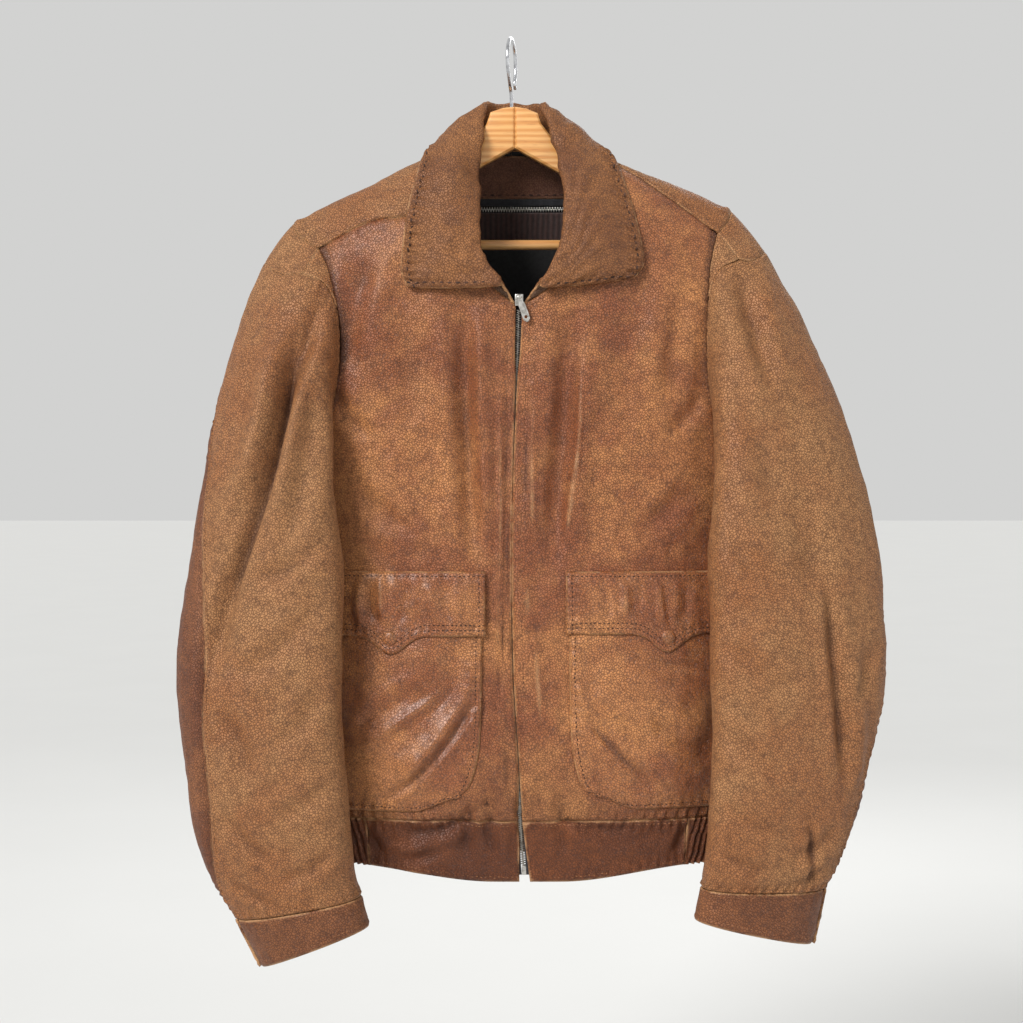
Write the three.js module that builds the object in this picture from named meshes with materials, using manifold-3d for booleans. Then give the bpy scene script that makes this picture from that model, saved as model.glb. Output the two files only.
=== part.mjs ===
import * as THREE from 'three';
import { mergeVertices } from 'three/addons/utils/BufferGeometryUtils.js';
import Module from 'manifold-3d';

const wasm = await Module();
wasm.setup();

// Driving dimensions, in millimetres. The origin is the inside top of the hook's crown.
// +X is to the right in the front view, the front faces -Y and +Z is up.
const LEATHER = 2;
const FOLDED_LEATHER = 2.6;
const TAPE = 1;
const LINING = 1;
const SEAM = 0.3;
const LAY = 0.6;
const SECTION_POWER = 2.6;
const SLEEVE_POWER = 2.25;
const FRONT_DROP = 120;
const BACK_DROP = 110;
const WAIST_Z = -736;
const UNDERARM_Z = -428;
const CUFF_OVERLAP = 0.3;
const HOOK_WIRE = 3.4;
const HOOK_RADIUS = 21;
const HOOK_YAW = 0.17;
const WOOD_THICKNESS = 12;
const BAR_DIAMETER = 9.4;
const BAR_Z = -194.5;
const BAR_REACH = 183;
const STEM_BOTTOM_Z = -78;

const COLOURS = {
  body: 0x9c6038,
  sleeve: 0xa87a55,
  collar: 0xa9805c,
  band: 0x7f4a2a,
  cuff: 0x8b5e3f,
  facing: 0x5b3626,
  lining: 0x141210,
  pile: 0x2a1a16,
  tape: 0x1d2233,
  nickel: 0xb9b7b0,
  wood: 0xc58f55,
  steel: 0xb8bbbe,
};

const group = new THREE.Group();

function material(colour, roughness, metalness = 0) {
  return new THREE.MeshStandardMaterial({ color: colour, roughness, metalness });
}

function addMesh(name, geometry, colour, roughness = 0.6, metalness = 0) {
  const mesh = new THREE.Mesh(geometry, material(colour, roughness, metalness));
  mesh.name = name;
  group.add(mesh);
  return mesh;
}

// Small numeric helpers
const lerp = (a, b, t) => a + (b - a) * t;
const clamp = (v, low, high) => Math.min(Math.max(v, low), high);

function hermite(a, da, b, db, t) {
  const t2 = t * t;
  const t3 = t2 * t;
  return a * (2 * t3 - 3 * t2 + 1) + da * (t3 - 2 * t2 + t) + b * (3 * t2 - 2 * t3) + db * (t3 - t2);
}

function smoothStep(low, high, v) {
  const t = clamp((v - low) / (high - low), 0, 1);
  return t * t * (3 - 2 * t);
}

// A smooth function through [position, value] rows, where the position only rises or only falls
function profile(rows) {
  const last = rows.length - 1;
  const rising = rows[last][0] > rows[0][0];
  const slope = (i) => {
    const a = rows[Math.max(i - 1, 0)];
    const b = rows[Math.min(i + 1, last)];
    return (b[1] - a[1]) / (b[0] - a[0]);
  };
  return (position) => {
    const before = (row) => (rising ? position <= row[0] : position >= row[0]);
    if (before(rows[0])) return rows[0][1];
    if (!before(rows[last])) return rows[last][1];
    let k = 0;
    while (!before(rows[k + 1])) k += 1;
    const step = rows[k + 1][0] - rows[k][0];
    const t = (position - rows[k][0]) / step;
    return hermite(rows[k][1], slope(k) * step, rows[k + 1][1], slope(k + 1) * step, t);
  };
}

// A smooth curve through points of any dimension, as many short steps
function smoothCurve(points, fine = 16) {
  const last = points.length - 1;
  const out = [];
  for (let k = 0; k < last; k += 1) {
    const before = points[Math.max(k - 1, 0)];
    const after = points[Math.min(k + 2, last)];
    for (let j = 0; j < fine; j += 1) {
      out.push(points[k].map((value, d) => hermite(
        value,
        (points[k + 1][d] - before[d]) / 2,
        points[k + 1][d],
        (after[d] - value) / 2,
        j / fine,
      )));
    }
  }
  out.push(points[last]);
  return out;
}

// The same polyline in n steps of equal length, where place gives the space in which length is measured
function evenly(dense, n, place = (p) => p) {
  const at = dense.map(place);
  const lengths = [0];
  for (let k = 1; k < at.length; k += 1) {
    lengths.push(lengths[k - 1] + Math.hypot(...at[k].map((value, d) => value - at[k - 1][d])));
  }
  const total = lengths[lengths.length - 1];
  const out = [];
  let k = 0;
  for (let i = 0; i <= n; i += 1) {
    const wanted = (total * i) / n;
    while (k < lengths.length - 2 && lengths[k + 1] < wanted) k += 1;
    const t = clamp((wanted - lengths[k]) / (lengths[k + 1] - lengths[k] || 1), 0, 1);
    out.push(dense[k].map((value, d) => lerp(value, dense[k + 1][d], t)));
  }
  return out;
}

// Body of the jacket: an oval section whose width and depth change with height
const halfWidth = profile([
  [-160, 229], [-300, 228], [-430, 225], [-600, 222], [-690, 217], [-740, 209], [-800, 203],
]);
const frontDepth = profile([
  [-150, 60], [-260, 66], [-430, 76], [-600, 82], [-700, 84], [-736, 77], [-800, 68],
]);
const backDepth = profile([[-150, 50], [-300, 56], [-500, 54], [-690, 58], [-736, 52], [-800, 46]]);
const centreX = profile([[-180, 0], [-270, 8], [-600, 12], [-800, 13]]);
const sideY = profile([[-180, 0], [-260, 3], [-430, 12], [-800, 12]]);

// Height of the shoulder line, which leans a little to one side
const shoulderLine = (x) => -69 - 0.47 * Math.hypot(x, 40) + 0.03 * x;

// Two soft troughs of the fronts: centre line x over z, where they end, half width and depth
const FRONT_FOLDS = [
  { line: profile([[-235, -43], [-330, -43], [-480, -37], [-560, -32]]), top: -232, end: -505 },
  { line: profile([[-238, 56], [-330, 53], [-460, 46], [-560, 42]]), top: -232, end: -505 },
];
const FOLD_FADE = 60;
const FOLD_WIDTH = 15;
const FOLD_DEPTH = 4.5;

function frontRelief(x, z) {
  let sum = 0;
  for (const fold of FRONT_FOLDS) {
    const low = smoothStep(fold.end, fold.end + FOLD_FADE, z);
    const fade = low * smoothStep(fold.top, fold.top - FOLD_FADE, z);
    const away = (x - fold.line(z)) / FOLD_WIDTH;
    sum -= FOLD_DEPTH * fade * Math.exp(-away * away);
  }
  return sum;
}

// Share of the full depth at a drop below the shoulder line
function dropShare(drop, reach) {
  if (drop >= reach) return 1;
  const t = 1 - Math.max(drop, 0) / reach;
  return Math.sqrt(1 - t * t);
}

// side is -1 on the front and 1 on the back
function bodyPoint(side, x, z) {
  const share = Math.min(Math.abs((x - centreX(z)) / halfWidth(z)), 1);
  const oval = (1 - share ** SECTION_POWER) ** (1 / SECTION_POWER);
  const reach = side < 0 ? FRONT_DROP : BACK_DROP;
  const depth = (side < 0 ? frontDepth(z) : backDepth(z)) * oval * dropShare(shoulderLine(x) - z, reach);
  const relief = side < 0 ? frontRelief(x, z) : 0;
  return [x, sideY(z) + side * (depth + relief), z];
}

// The angle round the section, from -90 degrees at one side seam to 90 at the other
function angleOf(x, z) {
  const share = clamp((x - centreX(z)) / halfWidth(z), -1, 1);
  return Math.sign(share) * Math.asin(Math.abs(share) ** (SECTION_POWER / 2));
}

function xOf(angle, z) {
  const s = Math.sin(angle);
  return centreX(z) + halfWidth(z) * Math.sign(s) * Math.abs(s) ** (2 / SECTION_POWER);
}

const sideSeam = (hand, z) => centreX(z) + hand * halfWidth(z);

// Vector helpers on plain arrays
const sub = (a, b) => [a[0] - b[0], a[1] - b[1], a[2] - b[2]];
const add = (a, b) => [a[0] + b[0], a[1] + b[1], a[2] + b[2]];
const scale = (a, k) => [a[0] * k, a[1] * k, a[2] * k];
const dot = (a, b) => a[0] * b[0] + a[1] * b[1] + a[2] * b[2];
const cross = (a, b) => [a[1] * b[2] - a[2] * b[1], a[2] * b[0] - a[0] * b[2], a[0] * b[1] - a[1] * b[0]];
const unit = (a) => scale(a, 1 / (Math.hypot(...a) || 1));
const mix = (a, b, t) => a.map((value, d) => lerp(value, b[d], t));

// A place on the body is a cell: x and the rolling distance over the shoulder line, negative on the front
function rollOf(side, x, z) {
  const reach = side < 0 ? FRONT_DROP : BACK_DROP;
  const drop = shoulderLine(x) - z;
  const turned = drop < reach ? Math.acos(clamp(1 - drop / reach, -1, 1)) : Math.PI / 2 + (drop - reach) / reach;
  return side * turned;
}

const cellOf = (side) => ([x, z]) => [x, rollOf(side, x, z)];

function rolled([x, roll]) {
  const side = roll < 0 ? -1 : 1;
  const reach = side < 0 ? FRONT_DROP : BACK_DROP;
  const turned = Math.abs(roll);
  const drop = turned < Math.PI / 2 ? reach * (1 - Math.cos(turned)) : reach * (1 + turned - Math.PI / 2);
  return bodyPoint(side, x, shoulderLine(x) - drop);
}

// Turns past a right angle are on the back
function aroundBody(turn, z) {
  const side = Math.abs(turn) <= Math.PI / 2 ? -1 : 1;
  const angle = side < 0 ? turn : Math.sign(turn) * Math.PI - turn;
  return bodyPoint(side, xOf(angle, z), z);
}

function bodyNormal(cell) {
  const [x, roll] = cell;
  const p = rolled(cell);
  const z = p[2];
  const nearSide = Math.abs(x - centreX(z)) > 0.93 * halfWidth(z) && Math.abs(roll) > 1;
  let across;
  let down;
  if (nearSide) {
    const angle = angleOf(x, z);
    const turn = roll < 0 ? angle : Math.sign(angle) * Math.PI - angle;
    across = sub(aroundBody(turn + 0.05, z), aroundBody(turn - 0.05, z));
    down = sub(aroundBody(turn, z - 1.5), aroundBody(turn, z + 1.5));
  } else {
    across = sub(rolled([x + 1.5, roll]), rolled([x - 1.5, roll]));
    down = sub(rolled([x, roll + 0.02]), rolled([x, roll - 0.02]));
  }
  const n = unit(cross(across, down));
  return dot(n, sub(p, [centreX(z), sideY(z), z - 40])) < 0 ? scale(n, -1) : n;
}

// Where two pieces meet at an angle, both ends are cut along the same plane, kept here by point
const seamCuts = new Map();
const seamKey = (p) => p.map((v) => Math.round(v * 20)).join(' ');

// A grid inside four edges that share their corners: top and bottom run across, left and right run down.
// A larger power keeps the left edge's shape closer to that edge.
function fillGrid(top, bottom, left, right, power = 1) {
  const nx = top.length - 1;
  const nz = left.length - 1;
  const grid = [];
  for (let i = 0; i <= nx; i += 1) {
    const u = 1 - (1 - i / nx) ** power;
    const column = [];
    for (let j = 0; j <= nz; j += 1) {
      const v = j / nz;
      column.push(top[i].map((value, d) => (
        lerp(value, bottom[i][d], v) + lerp(left[j][d], right[j][d], u)
        - lerp(lerp(top[0][d], top[nx][d], u), lerp(bottom[0][d], bottom[nx][d], u), v)
      )));
    }
    grid.push(column);
  }
  return grid;
}

const mapGrid = (grid, change) => grid.map((column) => column.map(change));

function gridNormals(grid) {
  const nx = grid.length - 1;
  const nz = grid[0].length - 1;
  return grid.map((column, i) => column.map((p, j) => {
    const across = sub(grid[Math.min(i + 1, nx)][j], grid[Math.max(i - 1, 0)][j]);
    const down = sub(column[Math.min(j + 1, nz)], column[Math.max(j - 1, 0)]);
    return unit(cross(down, across));
  }));
}

// Pulls the rim of a grid in by half a seam, so that neighbours stay clear
function pullIn(grid, amount) {
  const nx = grid.length - 1;
  const nz = grid[0].length - 1;
  const toward = (p, q) => scale(unit(sub(q, p)), amount);
  return grid.map((column, i) => column.map((p, j) => {
    let moved = p;
    if (i === 0) moved = add(moved, toward(p, grid[1][j]));
    if (i === nx) moved = add(moved, toward(p, grid[nx - 1][j]));
    if (j === 0) moved = add(moved, toward(p, column[1]));
    if (j === nz) moved = add(moved, toward(p, column[nz - 1]));
    return moved;
  }));
}

function solidGeometry(points, faces) {
  const used = faces.filter(([a, b, c]) => a !== b && b !== c && c !== a);
  let volume = 0;
  for (const [a, b, c] of used) volume += dot(points[a], cross(points[b], points[c]));
  const geometry = new THREE.BufferGeometry();
  geometry.setAttribute('position', new THREE.Float32BufferAttribute(points.flat(), 3));
  geometry.setIndex((volume > 0 ? used : used.map(([a, b, c]) => [a, c, b])).flat());
  geometry.computeVertexNormals();
  return geometry;
}

// A closed wall of even thickness on a grid of middle points
function wall(grid, thickness, directions = gridNormals(grid), seam = SEAM / 2) {
  const normals = directions.map((column, i) => column.map((n, j) => {
    const cut = seamCuts.get(seamKey(grid[i][j]));
    if (!cut) return n;
    return dot(cut, n) < 0 ? scale(cut, -1) : cut;
  }));
  const rim = pullIn(grid, seam);
  const nx = grid.length;
  const nz = grid[0].length;
  const points = [];
  for (const side of [0.5, -0.5]) {
    rim.forEach((column, i) => column.forEach((p, j) => {
      points.push(add(p, scale(normals[i][j], side * thickness)));
    }));
  }
  const at = (layer, i, j) => layer * nx * nz + i * nz + j;
  const faces = [];
  const quad = (a, b, c, d) => faces.push([a, b, c], [a, c, d]);
  for (let i = 0; i < nx - 1; i += 1) {
    for (let j = 0; j < nz - 1; j += 1) {
      quad(at(0, i, j), at(0, i, j + 1), at(0, i + 1, j + 1), at(0, i + 1, j));
      quad(at(1, i, j), at(1, i + 1, j), at(1, i + 1, j + 1), at(1, i, j + 1));
    }
  }
  for (let i = 0; i < nx - 1; i += 1) {
    quad(at(0, i, 0), at(0, i + 1, 0), at(1, i + 1, 0), at(1, i, 0));
    quad(at(0, i + 1, nz - 1), at(0, i, nz - 1), at(1, i, nz - 1), at(1, i + 1, nz - 1));
  }
  for (let j = 0; j < nz - 1; j += 1) {
    quad(at(0, 0, j + 1), at(0, 0, j), at(1, 0, j), at(1, 0, j + 1));
    quad(at(0, nx - 1, j), at(0, nx - 1, j + 1), at(1, nx - 1, j + 1), at(1, nx - 1, j));
  }
  return solidGeometry(points, faces);
}

// A wall on the body itself, or on a layer a distance out from it
function bodyWall(cells, thickness = LEATHER, distance = 0) {
  const normals = mapGrid(cells, bodyNormal);
  const points = cells.map((column, i) => column.map((cell, j) => (
    add(rolled(cell), scale(normals[i][j], distance))
  )));
  return wall(points, thickness, normals);
}

// Seams of the body as [x, z] lines chosen on the cloth, evenly stepped in real length
const onBody = (side) => ([x, z]) => bodyPoint(side, x, z);
const bodySeam = (side, points, n) => evenly(smoothCurve(points), n, onBody(side));
const join = (...runs) => runs.flatMap((run, k) => (k ? run.slice(1) : run));

const HANDS = [
  {
    hand: -1,
    name: 'right',
    tipX: -207,
    yokeSeam: [[-181, -203], [-161, -192], [-142, -182], [-120, -176], [-101, -175], [-54, -166]],
    neck: [[-54, -166], [-42, -202], [-20, -238], [4, -258]],
    edge: [[4, -258], [2.5, -330], [-0.5, -420], [-1.5, -500], [0, -600], [5, -680], [6.5, WAIST_Z]],
    armFront: [
      [-181, -203], [-174, -217], [-168, -233], [-163, -257], [-161, -289], [-164, -330], [-178, -378],
      [-200, -410],
    ],
    armTop: [[-204, -184], [-193, -195], [-181, -203]],
    armBack: [[-206, -398], [-180, -345], [-171, -290], [-178, -255], [-188, -232]],
    armRise: [[-188, -232], [-199, -206]],
    neckRidge: -66,
    bandFlare: 0.5,
    bandEnd: -136,
    bandBackEnd: -120,
    pocket: {
      inner: -27, outer: -196, top: -515, low: -727, flapTop: -504, flapLow: -564, pointX: -110, snapZ: -565,
    },
  },
  {
    hand: 1,
    name: 'left',
    tipX: 209,
    yokeSeam: [[194, -188], [178, -176], [159, -162], [140, -148], [121, -134], [100, -122], [72, -114]],
    neck: [[72, -114], [70, -140], [67, -168], [58, -203], [36, -239], [10, -258]],
    edge: [[10, -258], [8, -300], [5.5, -345], [2.5, -420], [1.5, -500], [3, -600], [8, -680], [10, WAIST_Z]],
    armFront: [
      [194, -188], [190, -204], [186, -224], [184, -252], [183, -290], [186, -335], [199, -380],
      [220, -410],
    ],
    armTop: [[206, -172], [200, -181], [194, -188]],
    armBack: [[226, -398], [200, -345], [189, -290], [191, -255], [196, -226]],
    armRise: [[196, -226], [203, -198]],
    neckRidge: 68,
    bandFlare: 7,
    bandEnd: 165,
    bandBackEnd: 150,
    pocket: {
      inner: 53, outer: 219, top: -515, low: -724, flapTop: -504, flapLow: -562, pointX: 143, snapZ: -564,
    },
  },
];

const TOP_STEPS = 3;
const RISE_STEPS = 6;
const FRONT_STEPS = 9;
const BACK_STEPS = 7;
const YOKE_SEAM_STEPS = 6;
const NECK_STEPS = 7;
const YOKE_NECK_STEPS = 5;
const SIDE_STEPS = 5;

for (const h of HANDS) {
  const tip = [h.tipX, shoulderLine(h.tipX)];
  const underarm = [sideSeam(h.hand, UNDERARM_Z), UNDERARM_Z];
  h.seams = {
    armTop: bodySeam(-1, [tip, ...h.armTop], TOP_STEPS),
    armFront: bodySeam(-1, [...h.armFront, underarm], FRONT_STEPS),
    armBack: bodySeam(1, [underarm, ...h.armBack], BACK_STEPS),
    armRise: bodySeam(1, [...h.armRise, tip], RISE_STEPS),
    yoke: bodySeam(-1, h.yokeSeam, YOKE_SEAM_STEPS),
    neck: bodySeam(-1, h.neck, NECK_STEPS),
  };
  // The armhole as a ring of cells, from the shoulder tip down the front and up the back
  h.armCells = [
    ...h.seams.armTop.slice(0, -1).map(cellOf(-1)),
    ...h.seams.armFront.slice(0, -1).map(cellOf(-1)),
    ...h.seams.armBack.slice(0, -1).map(cellOf(1)),
    ...h.seams.armRise.slice(0, -1).map(cellOf(1)),
  ];
  h.armhole = h.armCells.map(rolled);
}
const RING = TOP_STEPS + FRONT_STEPS + BACK_STEPS + RISE_STEPS;

// Direction in which the sleeve leaves the armhole, by ring position, for the +X side
const LEAVING = [
  [0, [0.72, -0.05, -0.69]],
  [3, [0.55, -0.5, -0.67]],
  [5, [0.3, -0.62, -0.72]],
  [8, [0.1, -0.6, -0.79]],
  [10, [0.35, -0.7, -0.62]],
  [12, [0.8, -0.3, -0.52]],
  [15, [0.9, 0.2, -0.4]],
  [19, [0.85, 0.25, -0.46]],
  [25, [0.72, -0.05, -0.69]],
];
const leavingParts = [0, 1, 2].map((d) => profile(LEAVING.map(([k, v]) => [k, v[d]])));

function leaving(hand, k) {
  const wrapped = ((k % RING) + RING) % RING;
  const v = unit(leavingParts.map((part) => part(wrapped)));
  return [v[0] * hand, v[1], v[2]];
}

function mitre(a, b) {
  const sum = add(a, b);
  const cut = scale(sum, 1 / (1 + dot(a, b)));
  return scale(cut, Math.min(1, 1.4 / Math.hypot(...cut)));
}

for (const h of HANDS) {
  h.armCuts = h.armhole.map((p, k) => {
    const along = unit(sub(h.armhole[(k + 1) % RING], h.armhole[(k + RING - 1) % RING]));
    const sleeveNormal = scale(unit(cross(along, leaving(h.hand, k))), h.hand);
    return mitre(sleeveNormal, bodyNormal(h.armCells[k]));
  });
  h.armhole.forEach((p, k) => seamCuts.set(seamKey(p), h.armCuts[k]));
}

// Fronts: from the pockets' tops down, the columns stand straight below each other
const POCKET_ROW = -504;
const LOWER_ROWS = [POCKET_ROW, -560, -620, -665, -695, -716, WAIST_Z];
const UPPER_STEPS = FRONT_STEPS + 2;
const POCKET_SHARES = [0, 0.08, 0.17, 0.28, 0.4, 0.53, 0.68, 0.84, 1];

function frontColumns(h, z) {
  const { outer, inner } = h.pocket;
  const side = sideSeam(h.hand, z);
  const edge = h.edgeX(z);
  const under = POCKET_SHARES.map((share) => lerp(outer, inner, share));
  return [side, lerp(side, outer, 0.5), ...under, lerp(inner, edge, 0.35), lerp(inner, edge, 0.7), edge];
}

function frontCells(h) {
  h.edgeX = profile(h.edge.map(([x, z]) => [z, x]));
  const toAngle = ([x, z]) => [angleOf(x, z), z];
  const neckZ = h.neck[h.neck.length - 1][1];
  const left = [...h.seams.armFront];
  for (let j = 1; j <= 2; j += 1) {
    const z = lerp(UNDERARM_Z, POCKET_ROW, j / 2);
    left.push([sideSeam(h.hand, z), z]);
  }
  const right = Array.from({ length: UPPER_STEPS + 1 }, (_, j) => {
    const z = lerp(neckZ, POCKET_ROW, j / UPPER_STEPS);
    return [h.edgeX(z), z];
  });
  const top = join(h.seams.yoke, h.seams.neck);
  const bottom = frontColumns(h, POCKET_ROW).map((x) => [x, POCKET_ROW]);
  const flat = fillGrid(top.map(toAngle), bottom.map(toAngle), left.map(toAngle), right.map(toAngle), 2);
  return flat.map((column, i) => [
    ...column.map(([angle, z]) => [xOf(angle, z), z]),
    ...LOWER_ROWS.slice(1).map((z) => [frontColumns(h, z)[i], z]),
  ].map(cellOf(-1)));
}

// Yoke pieces cross the shoulder line
const BACK_YOKE_Z = -232;
const BACK_NECK_Z = -100;

function yokeGrid(h) {
  const frontRoll = cellOf(-1);
  const backRoll = cellOf(1);
  const frontSeam = h.seams.yoke.map(frontRoll);
  const arm = join(
    [...h.seams.armTop].reverse().map(frontRoll),
    [...h.seams.armRise].reverse().map(backRoll),
  );
  const neckEnd = h.yokeSeam[h.yokeSeam.length - 1];
  const neckline = evenly(smoothCurve([
    frontRoll(neckEnd),
    [lerp(neckEnd[0], h.neckRidge, 0.7), frontRoll(neckEnd)[1] * 0.5],
    [h.neckRidge, 0],
    backRoll([h.neckRidge * 0.9, -104]),
    backRoll([h.neckRidge * 0.5, -101]),
    backRoll([0, BACK_NECK_Z]),
  ]), YOKE_NECK_STEPS, rolled);
  h.yokeNeck = neckline;
  const down = arm.length - 1 - YOKE_NECK_STEPS;
  const centre = Array.from({ length: down + 1 }, (_, j) => (
    backRoll([0, lerp(BACK_NECK_Z, BACK_YOKE_Z, j / down)])
  ));
  const backEnd = h.armRise[0];
  h.yokeBack = Array.from({ length: YOKE_SEAM_STEPS + 1 }, (_, i) => {
    const t = i / YOKE_SEAM_STEPS;
    return [lerp(backEnd[0], 0, t), lerp(backEnd[1], BACK_YOKE_Z, Math.sin(t * Math.PI / 2))];
  });
  return fillGrid(frontSeam, h.yokeBack.map(backRoll), arm, join(neckline, centre));
}

for (const h of HANDS) {
  h.front = frontCells(h);
  h.yoke = yokeGrid(h);
}

// Neckline ring of cells, from the zip on one side round the back to the zip on the other
const [RIGHT, LEFT] = HANDS;
const neckCells = [
  ...[...RIGHT.seams.neck].reverse().map(cellOf(-1)),
  ...RIGHT.yokeNeck.slice(1),
  ...[...LEFT.yokeNeck].reverse().slice(1),
  ...LEFT.seams.neck.slice(1).map(cellOf(-1)),
];
const neckline = neckCells.map(rolled);
const NECK_RING = neckline.length - 1;

// Collar: roll line and outer edge as [x, y, z], one for each step round the neckline
const ROLL_LINE = [
  [-9, -76, -239], [-17, -75, -229], [-24, -73, -219], [-28, -69, -210], [-30, -64, -199], [-30, -59, -187],
  [-31, -53, -174], [-31, -45, -158], [-32, -30, -133], [-29, -17, -98], [-26, 4, -61], [-17, 24, -56],
  [0, 30, -55], [17, 26, -56], [28, 14, -58], [32, 0, -64], [37, -12, -84], [44, -22, -110],
  [48, -38, -135], [50, -50, -156], [49, -61, -178], [47, -68, -197], [43, -74, -212], [35, -77, -228],
  [26, -76, -240],
];
const COLLAR_EDGE = [
  [-95, -64, -243], [-101, -64, -231], [-102, -62, -220], [-101, -60, -208], [-100, -57, -198], [-99, -54, -187],
  [-97, -50, -174], [-94, -44, -158], [-89, -34, -138], [-85, -14, -116], [-79, 12, -110], [-50, 36, -122],
  [0, 43, -125], [44, 37, -123], [78, 20, -113], [90, 4, -109], [97, -12, -118], [102, -28, -134],
  [108, -40, -152], [113, -48, -168], [117, -54, -184], [120, -59, -198], [122, -62, -212], [121, -64, -224],
  [112, -64, -234],
];
const COLLAR_FOLD = 3.2;
const COLLAR_CLEAR = 4.8;

// Moves a point out from the body until it is a distance clear of it
function clearOfBody([x, y, z], clearance) {
  const line = shoulderLine(x);
  const side = y < sideY(z) ? -1 : 1;
  const reach = side < 0 ? FRONT_DROP : BACK_DROP;
  const centreZ = line - reach;
  const share = Math.min(Math.abs((x - centreX(z)) / halfWidth(z)), 0.98);
  const depth = (side < 0 ? frontDepth(z) : backDepth(z)) * (1 - share ** SECTION_POWER) ** (1 / SECTION_POWER);
  const q = (y - sideY(z)) / (depth + clearance);
  const w = Math.max(z - centreZ, 0) / (reach + clearance);
  const r = Math.hypot(q, w);
  if (r >= 1) return [x, y, z];
  const k = 1 / Math.max(r, 0.2);
  return [x, sideY(z) + q * k * (depth + clearance), z > centreZ ? centreZ + w * k * (reach + clearance) : z];
}

function collarGrid() {
  return neckline.map((seat, k) => {
    const roll = ROLL_LINE[k];
    const edge = COLLAR_EDGE[k];
    const toSeat = unit(sub(seat, roll));
    const toEdge = unit(sub(edge, roll));
    const middle = unit(add(toSeat, toEdge));
    const away = bodyNormal(neckCells[k]);
    const apart = unit(sub(away, scale(middle, dot(away, middle))));
    const room = clamp(Math.hypot(...sub(seat, roll)) / 10, 0.6, 1) * COLLAR_FOLD;
    const centre = add(roll, scale(middle, room));
    const inner = add(centre, scale(apart, -room));
    const outer = add(centre, scale(apart, room));
    const ends = Math.abs(k / NECK_RING - 0.5) * 2;
    const crown = lerp(7, 3, ends ** 3);
    const fall = (t) => add(mix(outer, edge, t), scale(apart, crown * 4 * t * (1 - t) * (1 - t * 0.4)));
    const clear = (p) => clearOfBody(p, COLLAR_CLEAR);
    const stand = add(mix(seat, inner, 0.5), scale(apart, -1));
    return [seat, stand, inner, roll, outer, clear(fall(0.3)), clear(fall(0.62)), clear(edge)];
  });
}

const collar = collarGrid();
neckline.forEach((p, k) => {
  const along = unit(sub(neckline[Math.min(k + 1, NECK_RING)], neckline[Math.max(k - 1, 0)]));
  const outward = unit(cross(sub(collar[k][1], p), along));
  const body = bodyNormal(neckCells[k]);
  const facing = dot(outward, body) < 0 ? scale(outward, -1) : outward;
  seamCuts.set(seamKey(p), mitre(facing, body));
});
for (const h of HANDS) {
  addMesh(`front_${h.name}`, bodyWall(h.front), COLOURS.body, 0.5);
  addMesh(`yoke_${h.name}`, bodyWall(h.yoke), COLOURS.sleeve, 0.6);
}
addMesh('collar', wall(collar, FOLDED_LEATHER, gridNormals(collar), 0.4), COLOURS.collar, 0.6);

// Back panel: yoke seam, armholes and side seams, waist seam
function backCells() {
  const toAngle = ([x, z]) => [angleOf(x, z), z];
  const top = join(RIGHT.yokeBack, [...LEFT.yokeBack].reverse());
  const down = (h) => {
    const side = Array.from({ length: SIDE_STEPS + 1 }, (_, j) => {
      const z = lerp(UNDERARM_Z, WAIST_Z, j / SIDE_STEPS);
      return [sideSeam(h.hand, z), z];
    });
    return join([...h.seams.armBack].reverse(), side);
  };
  const bottom = top.map((_, i) => [lerp(-Math.PI / 2, Math.PI / 2, i / (top.length - 1)), WAIST_Z]);
  const flat = fillGrid(top.map(toAngle), bottom, down(RIGHT).map(toAngle), down(LEFT).map(toAngle));
  return mapGrid(flat, ([angle, z]) => cellOf(1)([xOf(angle, z), z]));
}
addMesh('back_panel', bodyWall(backCells()), COLOURS.body, 0.5);

// Sleeves: stations give the outer and inner edges of the flattened tube and half its depth
const SLEEVES = {
  right: {
    stations: [
      [[-300.5, -44, -514], [-156, -101, -512], 33],
      [[-308.5, -50, -575], [-156, -103, -575], 33],
      [[-305.5, -56, -640], [-155, -103, -635], 33],
      [[-298, -60, -700], [-152, -100, -690], 32],
      [[-290, -60, -755], [-148, -94, -742], 31],
      [[-273, -58, -797], [-145, -86, -780], 30],
      [[-252, -58, -826], [-140, -82, -802], 30],
    ],
    cuffEnd: [[-229, -60, -870], [-133, -82, -830], 29],
    still: 4.4,
    backSeam: profile([
      [0, -6], [0.3, -3], [0.5, 0], [0.65, 1.2], [0.8, 1.8], [1, 2.4], [2, 2.85], [3, 2.65], [4, 2.5],
      [5, 2.2], [6, 1.3], [7, 0.3],
    ]),
    fold: {
      line: profile([[0.1, 4.4], [0.6, 4.1], [0.8, 3.75], [1, 3.4], [2, 3.2], [3, 3]]),
      end: 2.6,
      width: 0.42,
      depth: 13,
    },
  },
  left: {
    stations: [
      [[344, -40, -514], [182, -101, -512], 34],
      [[346.5, -46, -570], [183, -103, -575], 34],
      [[340, -52, -632], [184, -103, -635], 34],
      [[328, -56, -690], [183, -100, -690], 33],
      [[315, -58, -738], [181, -94, -740], 31],
      [[301, -58, -776], [178, -86, -778], 29],
      [[288, -58, -798], [176, -80, -794], 25],
    ],
    cuffEnd: [[277, -60, -849], [170, -78, -824], 25],
    still: 3,
    backSeam: profile([[0, -6], [0.55, -4], [1, -2], [2, -0.8], [3, 0.2], [4, 0.9], [5, 1.1], [7, 0.5]]),
    fold: { line: profile([[0.1, 3.2], [1, 4.4], [3, 3]]), end: 1.6, width: 0.8, depth: 5 },
  },
};
const FOLD_START = 0.02;
const ringAngle = profile([
  [0, 0], [4, Math.PI / 2], [8, Math.PI], [12, 1.5 * Math.PI], [19, 1.5 * Math.PI + 1.1], [RING, 2 * Math.PI],
]);

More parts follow.
